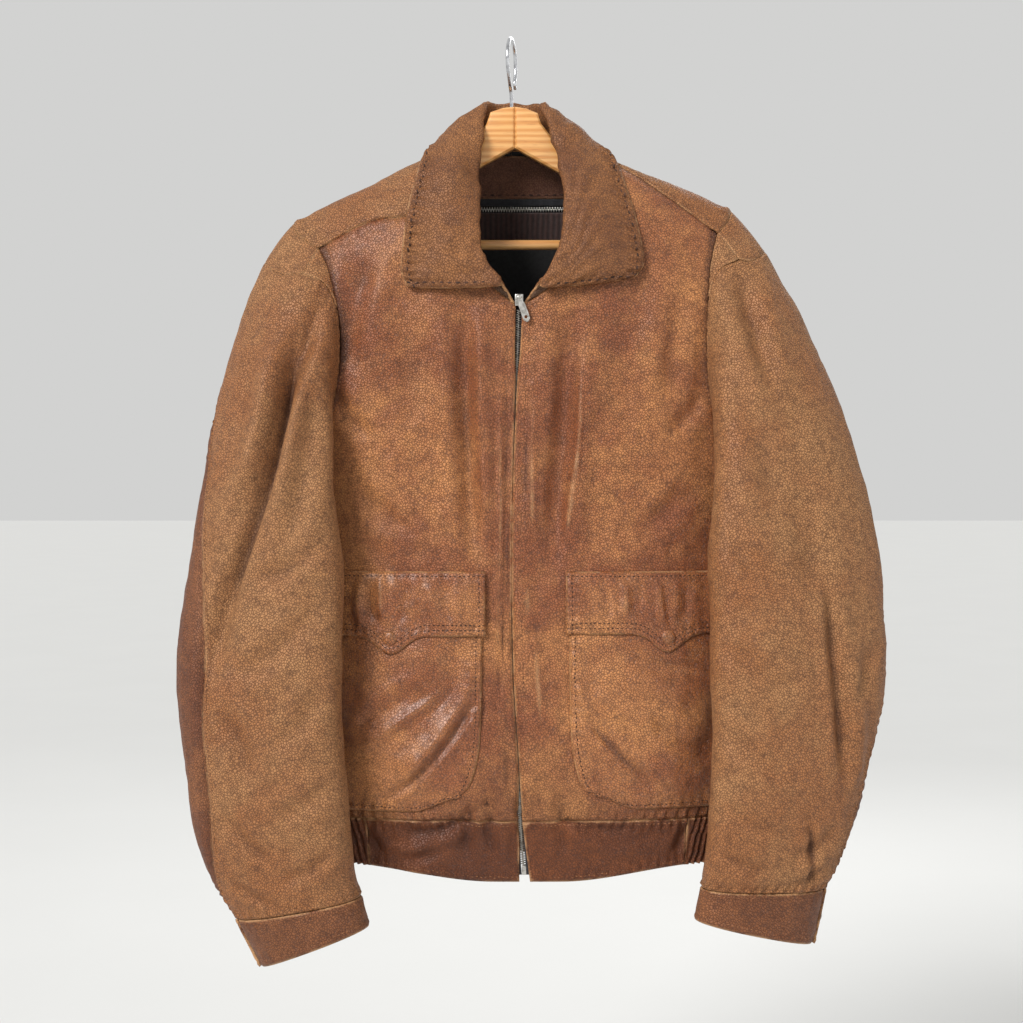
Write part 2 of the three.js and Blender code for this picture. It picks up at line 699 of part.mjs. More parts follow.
function ringPoint([outer, inner, depth], angle) {
  const centre = mix(outer, inner, 0.5);
  const reach = scale(sub(outer, inner), 0.5);
  const flat = unit([reach[0], reach[1], 0]);
  const front = flat[0] < 0 ? [-flat[1], flat[0], 0] : [flat[1], -flat[0], 0];
  const bend = (v) => Math.sign(v) * Math.abs(v) ** (2 / SLEEVE_POWER);
  return add(centre, add(scale(reach, bend(Math.cos(angle))), scale(front, depth * bend(Math.sin(angle)))));
}

function stationAt(stations, v) {
  const last = stations.length - 1;
  const k = clamp(Math.floor(v), 0, last - 1);
  const t = v - k;
  const pick = (i) => stations[clamp(i, 0, last)].flat();
  const blended = pick(k).map((value, d) => hermite(
    value,
    (pick(k + 1)[d] - pick(k - 1)[d]) / (k === 0 ? 1 : 2),
    pick(k + 1)[d],
    (pick(k + 2)[d] - value) / (k + 2 > last ? 1 : 2),
    t,
  ));
  return [blended.slice(0, 3), blended.slice(3, 6), blended[6]];
}

// A point between two neighbours of the armhole ring
function onRing(ring, k) {
  const wrapped = ((k % RING) + RING) % RING;
  const low = Math.floor(wrapped);
  return mix(ring[low], ring[(low + 1) % RING], wrapped - low);
}

// A point of the sleeve: k goes round from the shoulder tip by the front, v is 0 at the armhole, 1 at the
// first station and one more at each further station
function sleeveTube(h, k, v) {
  const { stations } = SLEEVES[h.name];
  const wrapped = ((k % RING) + RING) % RING;
  const angle = ringAngle(wrapped);
  if (v >= 1) return ringPoint(stationAt(stations, v - 1), angle);
  const start = onRing(h.armhole, wrapped);
  const end = ringPoint(stations[0], angle);
  const below = ringPoint(stationAt(stations, 0.5), angle);
  const chord = Math.hypot(...sub(end, start));
  const out = scale(leaving(h.hand, wrapped), chord * 0.75);
  const fall = scale(unit(sub(below, end)), chord * 0.85);
  return start.map((value, d) => hermite(value, out[d], end[d], fall[d], Math.max(v, 0)));
}

function sleevePoint(h, k, v) {
  const { fold } = SLEEVES[h.name];
  const p = sleeveTube(h, k, v);
  const away = (k - fold.line(v)) / fold.width;
  if (v <= FOLD_START || v >= fold.end || Math.abs(away) > 3) return p;
  const fade = smoothStep(FOLD_START, FOLD_START + 0.25, v) * smoothStep(fold.end, fold.end - 1.2, v);
  const inward = scale(tubeNormal(h, k, v), -1);
  return add(p, scale(inward, fold.depth * fade * Math.exp(-away * away)));
}

function normalOf(h, k, v, place) {
  const low = Math.max(v - 0.02, 0);
  const across = sub(place(h, k + 0.12, Math.max(v, 0.01)), place(h, k - 0.12, Math.max(v, 0.01)));
  const down = sub(place(h, k, v + 0.02), place(h, k, low));
  return scale(unit(cross(across, down)), h.hand);
}

function tubeNormal(h, k, v) {
  return normalOf(h, k, v, sleeveTube);
}

// Depth of the sleeve head piece below the armhole, by ring position
const capDepth = profile([[-7, 0.012], [-6, 0.07], [-3, 0.15], [2, 0.15], [3, 0.12], [4, 0.05], [5, 0.012]]);
const CAP_BACK = -7;
const CAP_SPLIT = 3;
const CAP_FRONT = 5;
const FRONT_SEAM = 10;
const HOLD = 12;
const SEAM_NOTCH = -6;
const AT_ARMHOLE = 0.0115;
const capEdge = (k) => (k >= CAP_BACK && k <= CAP_FRONT ? capDepth(k) : 0);

// The walls stand a little further off each other in the armpit
const armpitGap = profile([[8, 0], [10, 0.006], [11, 0.01], [12, 0.01], [14, 0]]);

const TOP_COLUMNS = [-6, -4, -2, 0, 1.5, 3, 3.35, 3.7, 4, 4.4, CAP_FRONT, 6, 7, 8, 9, FRONT_SEAM];
const UNDER_COLUMNS = [FRONT_SEAM, 11, HOLD, 13, 14.5, 16, 17, RING + CAP_BACK, RING + SEAM_NOTCH];
const HEAD_ROWS = [0, 0.15, 0.32, 0.52, 0.76, 1];
const ARM_ROWS = [1.8, 2.6, 3.4, 4.3, 5.2, 6, 7];

// The seam along the back of the arm moves round as it goes down, and the columns beside it follow
function topPlace(h, column, v) {
  const { backSeam, still } = SLEEVES[h.name];
  if (column >= still) return column;
  return lerp(backSeam(v), still, (column - SEAM_NOTCH) / (still - SEAM_NOTCH));
}

function underPlace(h, column, v) {
  if (column <= HOLD) return column;
  const seam = SLEEVES[h.name].backSeam(v) - SEAM_NOTCH;
  return column + seam * ((column - HOLD) / (RING + SEAM_NOTCH - HOLD)) ** 2;
}

// Rows of [k, v] down one column, from the sleeve head seam where there is one
function sleeveColumn(h, column, place) {
  const aroundTop = (k) => (k > RING / 2 ? k - RING : k);
  let start = armpitGap(column);
  if (column <= CAP_FRONT || column >= RING + CAP_BACK) {
    start = capEdge(aroundTop(column));
    for (let pass = 0; pass < 12; pass += 1) {
      start = Math.max(capEdge(aroundTop(place(h, column, start))), AT_ARMHOLE);
    }
  }
  const rows = [...HEAD_ROWS.map((f) => start + (1 - start) * f), ...ARM_ROWS];
  return rows.map((v) => [aroundTop(place(h, column, v)), v]);
}

const sleeveNormal = (h, [k, v]) => (v < AT_ARMHOLE ? onRing(h.armCuts, k) : normalOf(h, k, v, sleevePoint));

function sleeveWall(h, cells) {
  const points = mapGrid(cells, ([k, v]) => sleevePoint(h, k, v));
  return wall(points, LEATHER, mapGrid(cells, (cell) => sleeveNormal(h, cell)), SEAM);
}

// A head piece runs from the armhole to the sleeve's own upper edge, which it shares point for point
function capWall(h, edge, from, to) {
  const inner = edge.map(({ label }) => label).filter((label) => label > from && label < to);
  const whole = Array.from({ length: to - from + 1 }, (_, i) => from + i);
  const labels = [...new Set([...whole, ...inner])].sort((a, b) => a - b);
  const columns = labels.map((label) => {
    const next = Math.max(edge.findIndex((e) => e.label >= label - 1e-6), 1);
    const a = edge[next - 1];
    const b = edge[next];
    const t = (label - a.label) / (b.label - a.label);
    const low = {
      point: mix(a.point, b.point, t), normal: mix(a.normal, b.normal, t), cell: mix(a.cell, b.cell, t),
    };
    const half = [(label + low.cell[0]) / 2, low.cell[1] / 2];
    return [
      { point: onRing(h.armhole, label), normal: onRing(h.armCuts, label) },
      { point: sleevePoint(h, ...half), normal: normalOf(h, ...half, sleevePoint) },
      low,
    ];
  });
  const points = mapGrid(columns, ({ point }) => point);
  return wall(points, LEATHER, mapGrid(columns, ({ normal }) => normal), SEAM);
}

for (const h of HANDS) {
  const top = TOP_COLUMNS.map((column) => sleeveColumn(h, column, topPlace));
  const under = UNDER_COLUMNS.map((column) => sleeveColumn(h, column, underPlace));
  const atEdge = (label, cell) => ({
    label,
    cell,
    point: sleevePoint(h, ...cell),
    normal: sleeveNormal(h, cell),
  });
  const edge = [
    atEdge(CAP_BACK, under[UNDER_COLUMNS.length - 2][0]),
    ...TOP_COLUMNS.filter((label) => label <= CAP_FRONT).map((label, i) => atEdge(label, top[i][0])),
  ];
  addMesh(`sleeve_top_${h.name}`, sleeveWall(h, top), COLOURS.sleeve, 0.7);
  addMesh(`sleeve_under_${h.name}`, sleeveWall(h, under), COLOURS.cuff, 0.7);
  addMesh(`cap_rear_${h.name}`, capWall(h, edge, CAP_BACK, CAP_SPLIT), COLOURS.sleeve, 0.7);
  addMesh(`cap_front_${h.name}`, capWall(h, edge, CAP_SPLIT, CAP_FRONT), COLOURS.sleeve, 0.7);
}

// Cuffs: a doubled strip once round the wrist, its end lapped over its start on the outer side
const CUFF_COLUMNS = 20;
const CUFF_START = -0.12;
const CUFF_LIFT = 3.4;

function cuffGrid(h) {
  const { stations, cuffEnd } = SLEEVES[h.name];
  const seam = stations[stations.length - 1];
  return Array.from({ length: CUFF_COLUMNS + 1 }, (_, i) => {
    const t = i / CUFF_COLUMNS;
    const angle = lerp(CUFF_START, 2 * Math.PI + CUFF_START + CUFF_OVERLAP, t);
    const lift = CUFF_LIFT * smoothStep(0.86, 0.96, t);
    return [0.012, 0.5, 1].map((f) => {
      const outer = mix(seam[0], cuffEnd[0], f);
      const inner = mix(seam[1], cuffEnd[1], f);
      const reach = scale(unit(sub(outer, inner)), lift);
      return ringPoint([add(outer, reach), sub(inner, reach), lerp(seam[2], cuffEnd[2], f) + lift], angle);
    });
  });
}

// A press stud's cap: a low dome standing on a point, its axis along a direction
function studGeometry(point, direction, radius, height) {
  const outline = [[0, 0], [1, 0], [1, 0.3], [0.8, 0.75], [0.4, 1], [0, 1]];
  const shape = outline.map(([r, y]) => new THREE.Vector2(r * radius, y * height));
  const geometry = new THREE.LatheGeometry(shape, 12);
  const up = new THREE.Vector3(0, 1, 0);
  geometry.applyQuaternion(new THREE.Quaternion().setFromUnitVectors(up, new THREE.Vector3(...direction)));
  geometry.translate(...point);
  return geometry;
}

const STUD_RADIUS = 6;
const STUD_HEIGHT = 2.6;

for (const h of HANDS) {
  const cuff = cuffGrid(h);
  addMesh(`cuff_${h.name}`, wall(cuff, FOLDED_LEATHER), COLOURS.cuff, 0.6);
  const at = CUFF_COLUMNS - 1;
  const raw = unit(cross(sub(cuff[at + 1][1], cuff[at - 1][1]), sub(cuff[at][2], cuff[at][0])));
  const out = raw[0] * h.hand < 0 ? scale(raw, -1) : raw;
  const seat = add(cuff[at][1], scale(out, FOLDED_LEATHER / 2 + LAY));
  addMesh(`cuff_snap_${h.name}`, studGeometry(seat, out, STUD_RADIUS, STUD_HEIGHT), COLOURS.nickel, 0.4, 0.8);
}

// Waistband: leather front and back pieces and shirred elastic side pieces
const HEM_FRONT = -794;
const HEM_BACK = -792;
const BAND_ROWS = 2;
const SHIRRING = 1.1;

function hemZ(side, x) {
  const away = Math.abs(x - 12);
  return side < 0 ? HEM_FRONT + 14 * smoothStep(30, 170, away) : HEM_BACK + 11 * smoothStep(60, 190, away);
}

function bandPoint(turn, f, slide = 0) {
  const side = Math.abs(turn) <= Math.PI / 2 ? -1 : 1;
  const angle = side < 0 ? turn : Math.sign(turn) * Math.PI - turn;
  const z = lerp(WAIST_Z, hemZ(side, xOf(angle, WAIST_Z)), f);
  return bodyPoint(side, xOf(angle, z) + slide, z);
}

function bandGrid(from, to, steps, wave = 0) {
  return Array.from({ length: steps + 1 }, (_, i) => Array.from({ length: BAND_ROWS + 1 }, (__, j) => {
    const p = bandPoint(lerp(from, to, i / steps), j / BAND_ROWS);
    if (i === 0 || i === steps) return p;
    const out = unit(sub(p, [centreX(p[2]), sideY(p[2]), p[2]]));
    return add(p, scale(out, i % 2 ? wave : -wave));
  }));
}

for (const h of HANDS) {
  const zipTurn = angleOf(h.edgeX(WAIST_Z), WAIST_Z);
  const frontTurn = angleOf(h.bandEnd, WAIST_Z);
  const backTurn = h.hand * Math.PI - angleOf(h.bandBackEnd, WAIST_Z);
  const steps = 8;
  const front = Array.from({ length: steps + 1 }, (_, i) => Array.from({ length: BAND_ROWS + 1 }, (__, j) => {
    const share = i / steps;
    return bandPoint(lerp(frontTurn, zipTurn, share), j / BAND_ROWS, share ** 2 * h.bandFlare * (j / BAND_ROWS));
  }));
  addMesh(`band_front_${h.name}`, wall(front, LEATHER), COLOURS.band, 0.5);
  const sideGrid = bandGrid(backTurn, frontTurn, 14, SHIRRING);
  addMesh(`band_side_${h.name}`, wall(sideGrid, LEATHER), COLOURS.band, 0.6);
}

const BACK_BAND_STEPS = 10;
const backBand = Array.from({ length: BACK_BAND_STEPS + 1 }, (_, i) => {
  const from = angleOf(RIGHT.bandBackEnd, WAIST_Z);
  const to = angleOf(LEFT.bandBackEnd, WAIST_Z);
  const angle = lerp(from, to, i / BACK_BAND_STEPS);
  return Array.from({ length: BAND_ROWS + 1 }, (__, j) => {
    const z = lerp(WAIST_Z, hemZ(1, xOf(angle, WAIST_Z)), j / BAND_ROWS);
    return bodyPoint(1, xOf(angle, z), z);
  });
});
addMesh('band_back', wall(backBand, LEATHER), COLOURS.band, 0.5);

// Patch pockets and their flaps, made from the fronts' own columns and moved out
const POCKET_CROWN = 4;
const POCKET_LIFT = LEATHER + LAY;
const FLAP_LIFT = POCKET_LIFT + LEATHER / 2 + LAY + FOLDED_LEATHER / 2;
const FLAP_SEAT = LEATHER / 2 + LAY + FOLDED_LEATHER / 2;
const FLAP_HINGE = 9;
const FLAP_POINT = 17;
const CORNER_X = 22;
const CORNER_Z = 14;

function pocketRise(pocket, x, z) {
  const u = clamp((x - pocket.outer) / (pocket.inner - pocket.outer), 0, 1);
  const v = clamp((pocket.top - z) / (pocket.top - pocket.low), 0, 1);
  return POCKET_CROWN * Math.sin(Math.PI * u) * Math.sin(Math.PI * v);
}

function layerPoint([x, z], distance) {
  const cell = cellOf(-1)([x, z]);
  return add(rolled(cell), scale(bodyNormal(cell), distance));
}

for (const h of HANDS) {
  const p = h.pocket;
  const s = Math.sign(p.outer - p.inner);
  const xs = POCKET_SHARES.map((share) => lerp(p.outer, p.inner, share));
  const cornerX = p.inner + s * CORNER_X;
  const low = xs.map((x) => [
    lerp(p.outer, cornerX, (x - p.outer) / (p.inner - p.outer)),
    p.low + CORNER_Z * smoothStep(50, 0, Math.abs(x - p.inner))
      + 4 * smoothStep(14, 0, Math.abs(x - p.outer)),
  ]);
  const zs = [p.top, ...LOWER_ROWS.slice(1, -1)];
  const outer = [...zs.map((z) => [p.outer, z]), low[0]];
  const innerShift = [0, 0, 0.5, 2, 6, 12];
  const innerDrop = [0, 0, 0, 3, 10, 14];
  const inner = [...zs.map((z, j) => [p.inner + s * innerShift[j], z + innerDrop[j]]), low[xs.length - 1]];
  const pocketFlat = fillGrid(xs.map((x) => [x, p.top]), low, outer, inner);
  const pocket = mapGrid(pocketFlat, (at) => layerPoint(at, POCKET_LIFT + pocketRise(p, ...at)));
  addMesh(`pocket_${h.name}`, wall(pocket, LEATHER), COLOURS.body, 0.45);

  const start = p.outer + s * 2;
  const end = p.inner - s * 3;
  const across = [
    start, start - s * 11, start - s * 26, start - s * 43, p.pointX + s * 24, p.pointX + s * 10, p.pointX,
    p.pointX - s * 10, p.pointX - s * 24, lerp(p.pointX - s * 24, end, 0.5), end,
  ];
  const flap = across.map((x) => {
    const bottom = p.flapLow - FLAP_POINT * Math.exp(-(((x - p.pointX) / 17) ** 2));
    const rows = [p.flapTop, p.flapTop - FLAP_HINGE, lerp(p.flapTop - FLAP_HINGE, bottom, 0.5), bottom];
    return rows.map((z, j) => layerPoint([x, z], j === 0 ? FLAP_SEAT : FLAP_LIFT + pocketRise(p, x, z)));
  });
  addMesh(`flap_${h.name}`, wall(flap, FOLDED_LEATHER), COLOURS.body, 0.4);
  const snap = [p.pointX, p.snapZ];
  const out = bodyNormal(cellOf(-1)(snap));
  const seat = layerPoint(snap, FLAP_LIFT + FOLDED_LEATHER / 2 + LAY + pocketRise(p, ...snap));
  addMesh(`flap_snap_${h.name}`, studGeometry(seat, out, STUD_RADIUS, STUD_HEIGHT), COLOURS.nickel, 0.5, 0.6);
}

// Zip: tapes and closed teeth behind the front edges, slider, pull tab and bottom box
const TEETH_WIDTH = 2.6;
const TEETH_DEPTH = 2.2;
const TAPE_WIDTH = 15;
const ZIP_TOP = -262;
const ZIP_LOW = -788;
const ZIP_STEPS = 12;
const BOX_LENGTH = 9;
const bandShare = (z) => clamp((WAIST_Z - z) / (WAIST_Z - HEM_FRONT), 0, 1);
const bandEdgeX = (h, z) => h.edgeX(WAIST_Z) + h.bandFlare * bandShare(z);
const frontEdgeX = (h, z) => (z > WAIST_Z ? h.edgeX(z) : bandEdgeX(h, z));
const zipX = (z) => (frontEdgeX(RIGHT, z) + frontEdgeX(LEFT, z)) / 2;

function zipStrip(h, from, to, low, offset, thickness) {
  const rows = Array.from({ length: ZIP_STEPS + 1 }, (_, j) => lerp(ZIP_TOP, low, j / ZIP_STEPS));
  const grid = [from, to].map((away) => rows.map((z) => layerPoint([zipX(z) + h.hand * away, z], -offset)));
  return wall(grid, thickness);
}

for (const h of HANDS) {
  const teethBack = LEATHER / 2 + SEAM + TEETH_DEPTH / 2;
  const tapeBack = LEATHER / 2 + SEAM + TAPE;
  const teeth = zipStrip(h, 0, TEETH_WIDTH, ZIP_LOW + BOX_LENGTH, teethBack, TEETH_DEPTH);
  addMesh(`zip_teeth_${h.name}`, teeth, COLOURS.nickel, 0.4, 0.9);
  const tape = zipStrip(h, TEETH_WIDTH, TAPE_WIDTH, ZIP_LOW, tapeBack, TAPE);
  addMesh(`zip_tape_${h.name}`, tape, COLOURS.tape, 0.9);
}

const boxIn = -(LEATHER / 2 + SEAM + TEETH_DEPTH / 2);
const boxSeat = layerPoint([zipX(ZIP_LOW), ZIP_LOW + BOX_LENGTH / 2], boxIn);
const boxGeometry = new THREE.BoxGeometry(2 * TEETH_WIDTH - 3 * SEAM, TEETH_DEPTH, BOX_LENGTH - SEAM);
boxGeometry.translate(boxSeat[0], boxSeat[1], boxSeat[2] - SEAM);
addMesh('zip_box', boxGeometry, COLOURS.nickel, 0.4, 0.9);

function toManifold(geometry) {
  const bare = new THREE.BufferGeometry();
  bare.setAttribute('position', geometry.toNonIndexed().getAttribute('position'));
  const merged = mergeVertices(bare, 1e-3);
  return new wasm.Manifold(new wasm.Mesh({
    numProp: 3,
    vertProperties: merged.attributes.position.array,
    triVerts: new Uint32Array(merged.index.array),
  }));
}

function toGeometry(solid) {
  const mesh = solid.getMesh();
  const geometry = new THREE.BufferGeometry();
  geometry.setAttribute('position', new THREE.BufferAttribute(new Float32Array(mesh.vertProperties), 3));
  geometry.setIndex(new THREE.BufferAttribute(new Uint32Array(mesh.triVerts), 1));
  geometry.computeVertexNormals();
  return geometry;
}

// Slider and tab share a frame whose X is the hinge line and whose -Z is the way the tab hangs
const TAB_LEAN = THREE.MathUtils.degToRad(19);
const SLIDER_Z = -254;
const SLIDER_SIZE = [7.4, 3.2, 10.5];
const BRIDGE_RADIUS = 0.8;
const EYE_BORE = 1.15;
const EYE_RADIUS = 2;
const EYE_WIDTH = 3.6;
const POST_WIDTH = 1;
const TAB_LENGTH = 24;
const TAB_WIDTH = 6.4;
const TAB_THICKNESS = 1.4;
const TAB_TIP_HOLE = 1.6;
const BRIDGE_REACH = 2.4;
const sliderX = (frontEdgeX(RIGHT, SLIDER_Z - 5) + frontEdgeX(LEFT, SLIDER_Z - 5)) / 2;
const sliderFace = layerPoint([sliderX, SLIDER_Z], 0)[1] - LEATHER / 2 - 2 * SEAM - SLIDER_SIZE[1];
const hingeAt = new THREE.Vector3(sliderX, sliderFace - BRIDGE_REACH, SLIDER_Z + 2.5);
const hingeFrame = new THREE.Matrix4().makeRotationY(-TAB_LEAN).setPosition(hingeAt);

const rodAlongX = (radius, length, around = 16) => (
  new THREE.CylinderGeometry(radius, radius, length, around).rotateZ(Math.PI / 2)
);

function block(size, at) {
  return new THREE.BoxGeometry(...size).translate(...at);
}

const postReach = BRIDGE_REACH + SLIDER_SIZE[1] / 2;
const postAt = (side) => toManifold(block(
  [POST_WIDTH, postReach, 2 * BRIDGE_RADIUS + 0.4],
  [side * (EYE_WIDTH / 2 + SEAM + POST_WIDTH / 2), postReach / 2 - BRIDGE_RADIUS, 0],
).applyMatrix4(hingeFrame));
const bridgeRod = toManifold(rodAlongX(BRIDGE_RADIUS, EYE_WIDTH + 2 * SEAM + 2 * POST_WIDTH - 0.1)
  .applyMatrix4(hingeFrame));
const sliderBody = toManifold(block(SLIDER_SIZE, [sliderX, sliderFace + SLIDER_SIZE[1] / 2, SLIDER_Z]));
const slider = sliderBody.add(postAt(-1)).add(postAt(1)).add(bridgeRod);
addMesh('zip_slider', toGeometry(slider), COLOURS.nickel, 0.35, 0.9);

const tabShape = new THREE.Shape();
tabShape.moveTo(-EYE_WIDTH / 2, 0);
tabShape.lineTo(EYE_WIDTH / 2, 0);
tabShape.lineTo(EYE_WIDTH / 2, -4);
tabShape.lineTo(TAB_WIDTH / 2, -8);
tabShape.lineTo(TAB_WIDTH / 2, -TAB_LENGTH + 2.4);
tabShape.lineTo(TAB_WIDTH / 2 - 2.4, -TAB_LENGTH);
tabShape.lineTo(-TAB_WIDTH / 2 + 2.4, -TAB_LENGTH);
tabShape.lineTo(-TAB_WIDTH / 2, -TAB_LENGTH + 2.4);
tabShape.lineTo(-TAB_WIDTH / 2, -8);
tabShape.lineTo(-EYE_WIDTH / 2, -4);
const tipHole = new THREE.Path().absarc(0, -TAB_LENGTH + 4.6, TAB_TIP_HOLE, 0, 2 * Math.PI);
tabShape.holes.push(tipHole);
const tabPlate = new THREE.ExtrudeGeometry(tabShape, { depth: TAB_THICKNESS, bevelEnabled: false, curveSegments: 6 })
  .rotateX(Math.PI / 2)
  .translate(0, TAB_THICKNESS / 2, 0);
const tab = toManifold(tabPlate)
  .add(toManifold(rodAlongX(EYE_RADIUS, EYE_WIDTH)))
  .subtract(toManifold(rodAlongX(EYE_BORE, 3 * EYE_WIDTH)));
addMesh('zip_pull', toGeometry(tab).applyMatrix4(hingeFrame), COLOURS.nickel, 0.35, 0.9);

// What shows inside the neck: leather facing, lining zip, ribbed strip and lining, on the yoke's inside
const INSIDE_GAP = 4.2;
const NECK_WINDOW = [-76, 84];
const insideBands = [
  { name: 'neck_facing', top: (x) => shoulderLine(x) - 15, low: -143, thick: LEATHER, colour: COLOURS.facing },
  { name: 'liner_zip_tape', top: () => -143, low: -150, thick: TAPE, colour: COLOURS.tape },
  { name: 'liner_zip_teeth', top: () => -150, low: -156, thick: 2, colour: COLOURS.nickel, metal: 0.9 },
  { name: 'liner_strip', top: () => -156, low: -186, thick: LEATHER, colour: COLOURS.pile },
  { name: 'lining_back', top: () => -186, low: -330, thick: LINING, colour: COLOURS.lining },
];
for (const band of insideBands) {
  const steps = 10;
  const rows = band.name === 'lining_back' ? 8 : 3;
  const cells = Array.from({ length: steps + 1 }, (_, i) => {
    const x = lerp(...NECK_WINDOW, i / steps);
    return Array.from({ length: rows + 1 }, (__, j) => cellOf(1)([x, lerp(band.top(x), band.low, j / rows)]));
  });
  addMesh(band.name, bodyWall(cells, band.thick, -INSIDE_GAP), band.colour, 0.9, band.metal || 0);
}

// Hanger: two arms joined near the middle, a bar let into both, and a wire hook
const ARM_JOINT_X = 3.3;
const WOOD_BEVEL = 2;
const BAR_GAP = 0.3;
const LOWER_SLOPE = 0.55;
const APEX_Z = -102.6;
const ARM_END = 203;
const underCloth = (x) => shoulderLine(x) - 5.5;
const lowerEdge = (x) => APEX_Z - LOWER_SLOPE * Math.abs(x - ARM_JOINT_X);

function armGeometry(hand) {
  const joint = ARM_JOINT_X + hand * SEAM / 2;
  const shape = new THREE.Shape();
  shape.moveTo(joint, lowerEdge(joint));
  shape.lineTo(joint, -63.4);
  const neckTop = hand < 0
    ? [[-8, -64.5], [-20, -68.5], [-24, -80], [-40, -99]]
    : [[14, -65], [25, -69.5], [28, -79], [42, -97]];
  neckTop.forEach(([x, z]) => shape.lineTo(x, z));
  shape.lineTo(hand * 58, -113);
  [72, 95, 120, 150, 180, 196].forEach((x) => shape.lineTo(hand * x, underCloth(hand * x)));
  const end = hand * ARM_END;
  shape.lineTo(end, underCloth(end) - 7);
  shape.lineTo(end + hand * 2, underCloth(end) - 18);
  shape.lineTo(end - hand * 2, underCloth(end) - 29);
  shape.lineTo(hand * 194, lowerEdge(hand * 194) + 5);
  shape.lineTo(hand * 186, lowerEdge(hand * 186));
  const geometry = new THREE.ExtrudeGeometry(shape, {
    depth: WOOD_THICKNESS - 2 * WOOD_BEVEL,
    bevelThickness: WOOD_BEVEL,
    bevelSize: WOOD_BEVEL,
    bevelOffset: -WOOD_BEVEL,
    bevelSegments: 1,
  });
  return geometry.rotateX(Math.PI / 2).translate(0, WOOD_THICKNESS / 2 - WOOD_BEVEL, 0);
}

// A closed tube along a path of points, each with its own radius
function tubeGeometry(path, radii, around = 10) {
  const points = [];
  const faces = [];
  let side = [1, 0, 0];
  path.forEach((p, i) => {
    const along = unit(sub(path[Math.min(i + 1, path.length - 1)], path[Math.max(i - 1, 0)]));
    side = unit(sub(side, scale(along, dot(side, along))));
    const other = cross(along, side);
    for (let k = 0; k < around; k += 1) {
      const angle = (2 * Math.PI * k) / around;
      const ring = add(scale(side, Math.cos(angle)), scale(other, Math.sin(angle)));
      points.push(add(p, scale(ring, radii[i])));
    }
  });
  const last = path.length - 1;
  for (let i = 0; i < last; i += 1) {
    for (let k = 0; k < around; k += 1) {
      const next = (k + 1) % around;
      const a = i * around + k;
      const b = i * around + next;
      faces.push([a, b, b + around], [a, b + around, a + around]);
    }
  }
  points.push(path[0], path[last]);
  for (let k = 0; k < around; k += 1) {
    const next = (k + 1) % around;
    faces.push([points.length - 2, next, k], [points.length - 1, last * around + k, last * around + next]);
  }
  return solidGeometry(points, faces);
}

const WIRE_CENTRE = HOOK_RADIUS + HOOK_WIRE / 2;
const arc = (from, to, steps) => Array.from({ length: steps + 1 }, (_, i) => {
  const angle = THREE.MathUtils.degToRad(lerp(from, to, i / steps));
  return [WIRE_CENTRE * Math.cos(angle), -HOOK_RADIUS + WIRE_CENTRE * Math.sin(angle)];
});
const hookLine = [
  [0, STEM_BOTTOM_Z], [0, -66], [-0.4, -56], [-3.5, -48.5], [-10, -43], ...arc(215, -25, 18),
  [17.2, -35.4], [17.6, -38.5], [20.2, -40.2],
];
const hookPath = hookLine.map(([y, z]) => [Math.sin(HOOK_YAW) * y, Math.cos(HOOK_YAW) * y, z]);
const hookRadii = hookPath.map((_, i) => (i === hookPath.length - 1 ? 1.2 : HOOK_WIRE / 2));
addMesh('hook', tubeGeometry(hookPath, hookRadii), COLOURS.steel, 0.25, 1);

const barRod = (radius, reach) => rodAlongX(radius, 2 * reach, 20).translate(ARM_JOINT_X, 0, BAR_Z);
const stemHole = new THREE.CylinderGeometry(HOOK_WIRE / 2 + BAR_GAP, HOOK_WIRE / 2 + BAR_GAP, 32, 16)
  .rotateX(Math.PI / 2)
  .translate(0, 0, STEM_BOTTOM_Z + 15.6);
const barHole = toManifold(barRod(BAR_DIAMETER / 2 + BAR_GAP, BAR_REACH + BAR_GAP));
for (const h of HANDS) {
  const arm = toManifold(armGeometry(h.hand)).subtract(barHole).subtract(toManifold(stemHole));
  addMesh(`hanger_arm_${h.name}`, toGeometry(arm), COLOURS.wood, 0.4);
}
addMesh('hanger_bar', barRod(BAR_DIAMETER / 2, BAR_REACH), COLOURS.wood, 0.4);

export default group;
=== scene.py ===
import math

import bmesh
import bpy
import numpy as np
from mathutils import Matrix, Vector, noise


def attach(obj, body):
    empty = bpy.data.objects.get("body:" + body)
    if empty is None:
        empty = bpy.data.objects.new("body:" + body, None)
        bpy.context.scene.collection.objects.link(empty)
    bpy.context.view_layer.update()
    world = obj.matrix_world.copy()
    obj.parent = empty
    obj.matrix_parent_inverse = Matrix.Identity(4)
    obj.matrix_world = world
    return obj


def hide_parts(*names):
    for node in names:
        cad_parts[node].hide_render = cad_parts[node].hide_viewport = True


bl_info = {
    "name": "Leather jacket on a hanger",
    "version": (1, 0, 0),
    "blender": (4, 5, 0),
    "location": "3D View > Sidebar > Jacket",
    "description": "Builds a worn leather jacket with its hanger, piece by piece",
    "category": "Add Mesh",
}

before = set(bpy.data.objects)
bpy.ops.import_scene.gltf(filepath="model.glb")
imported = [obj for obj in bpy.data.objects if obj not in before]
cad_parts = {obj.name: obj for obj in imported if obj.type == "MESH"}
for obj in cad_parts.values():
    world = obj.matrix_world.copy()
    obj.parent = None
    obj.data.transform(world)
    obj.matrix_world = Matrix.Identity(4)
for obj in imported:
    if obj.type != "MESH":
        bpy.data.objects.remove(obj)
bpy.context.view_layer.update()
MM = 0.001

# The distance to the edge and the relief, in millimetres, at which the attributes for the materials are full; the
# relief also holds painted shade
RIM_REACH = 20
RELIEF_REACH = 6

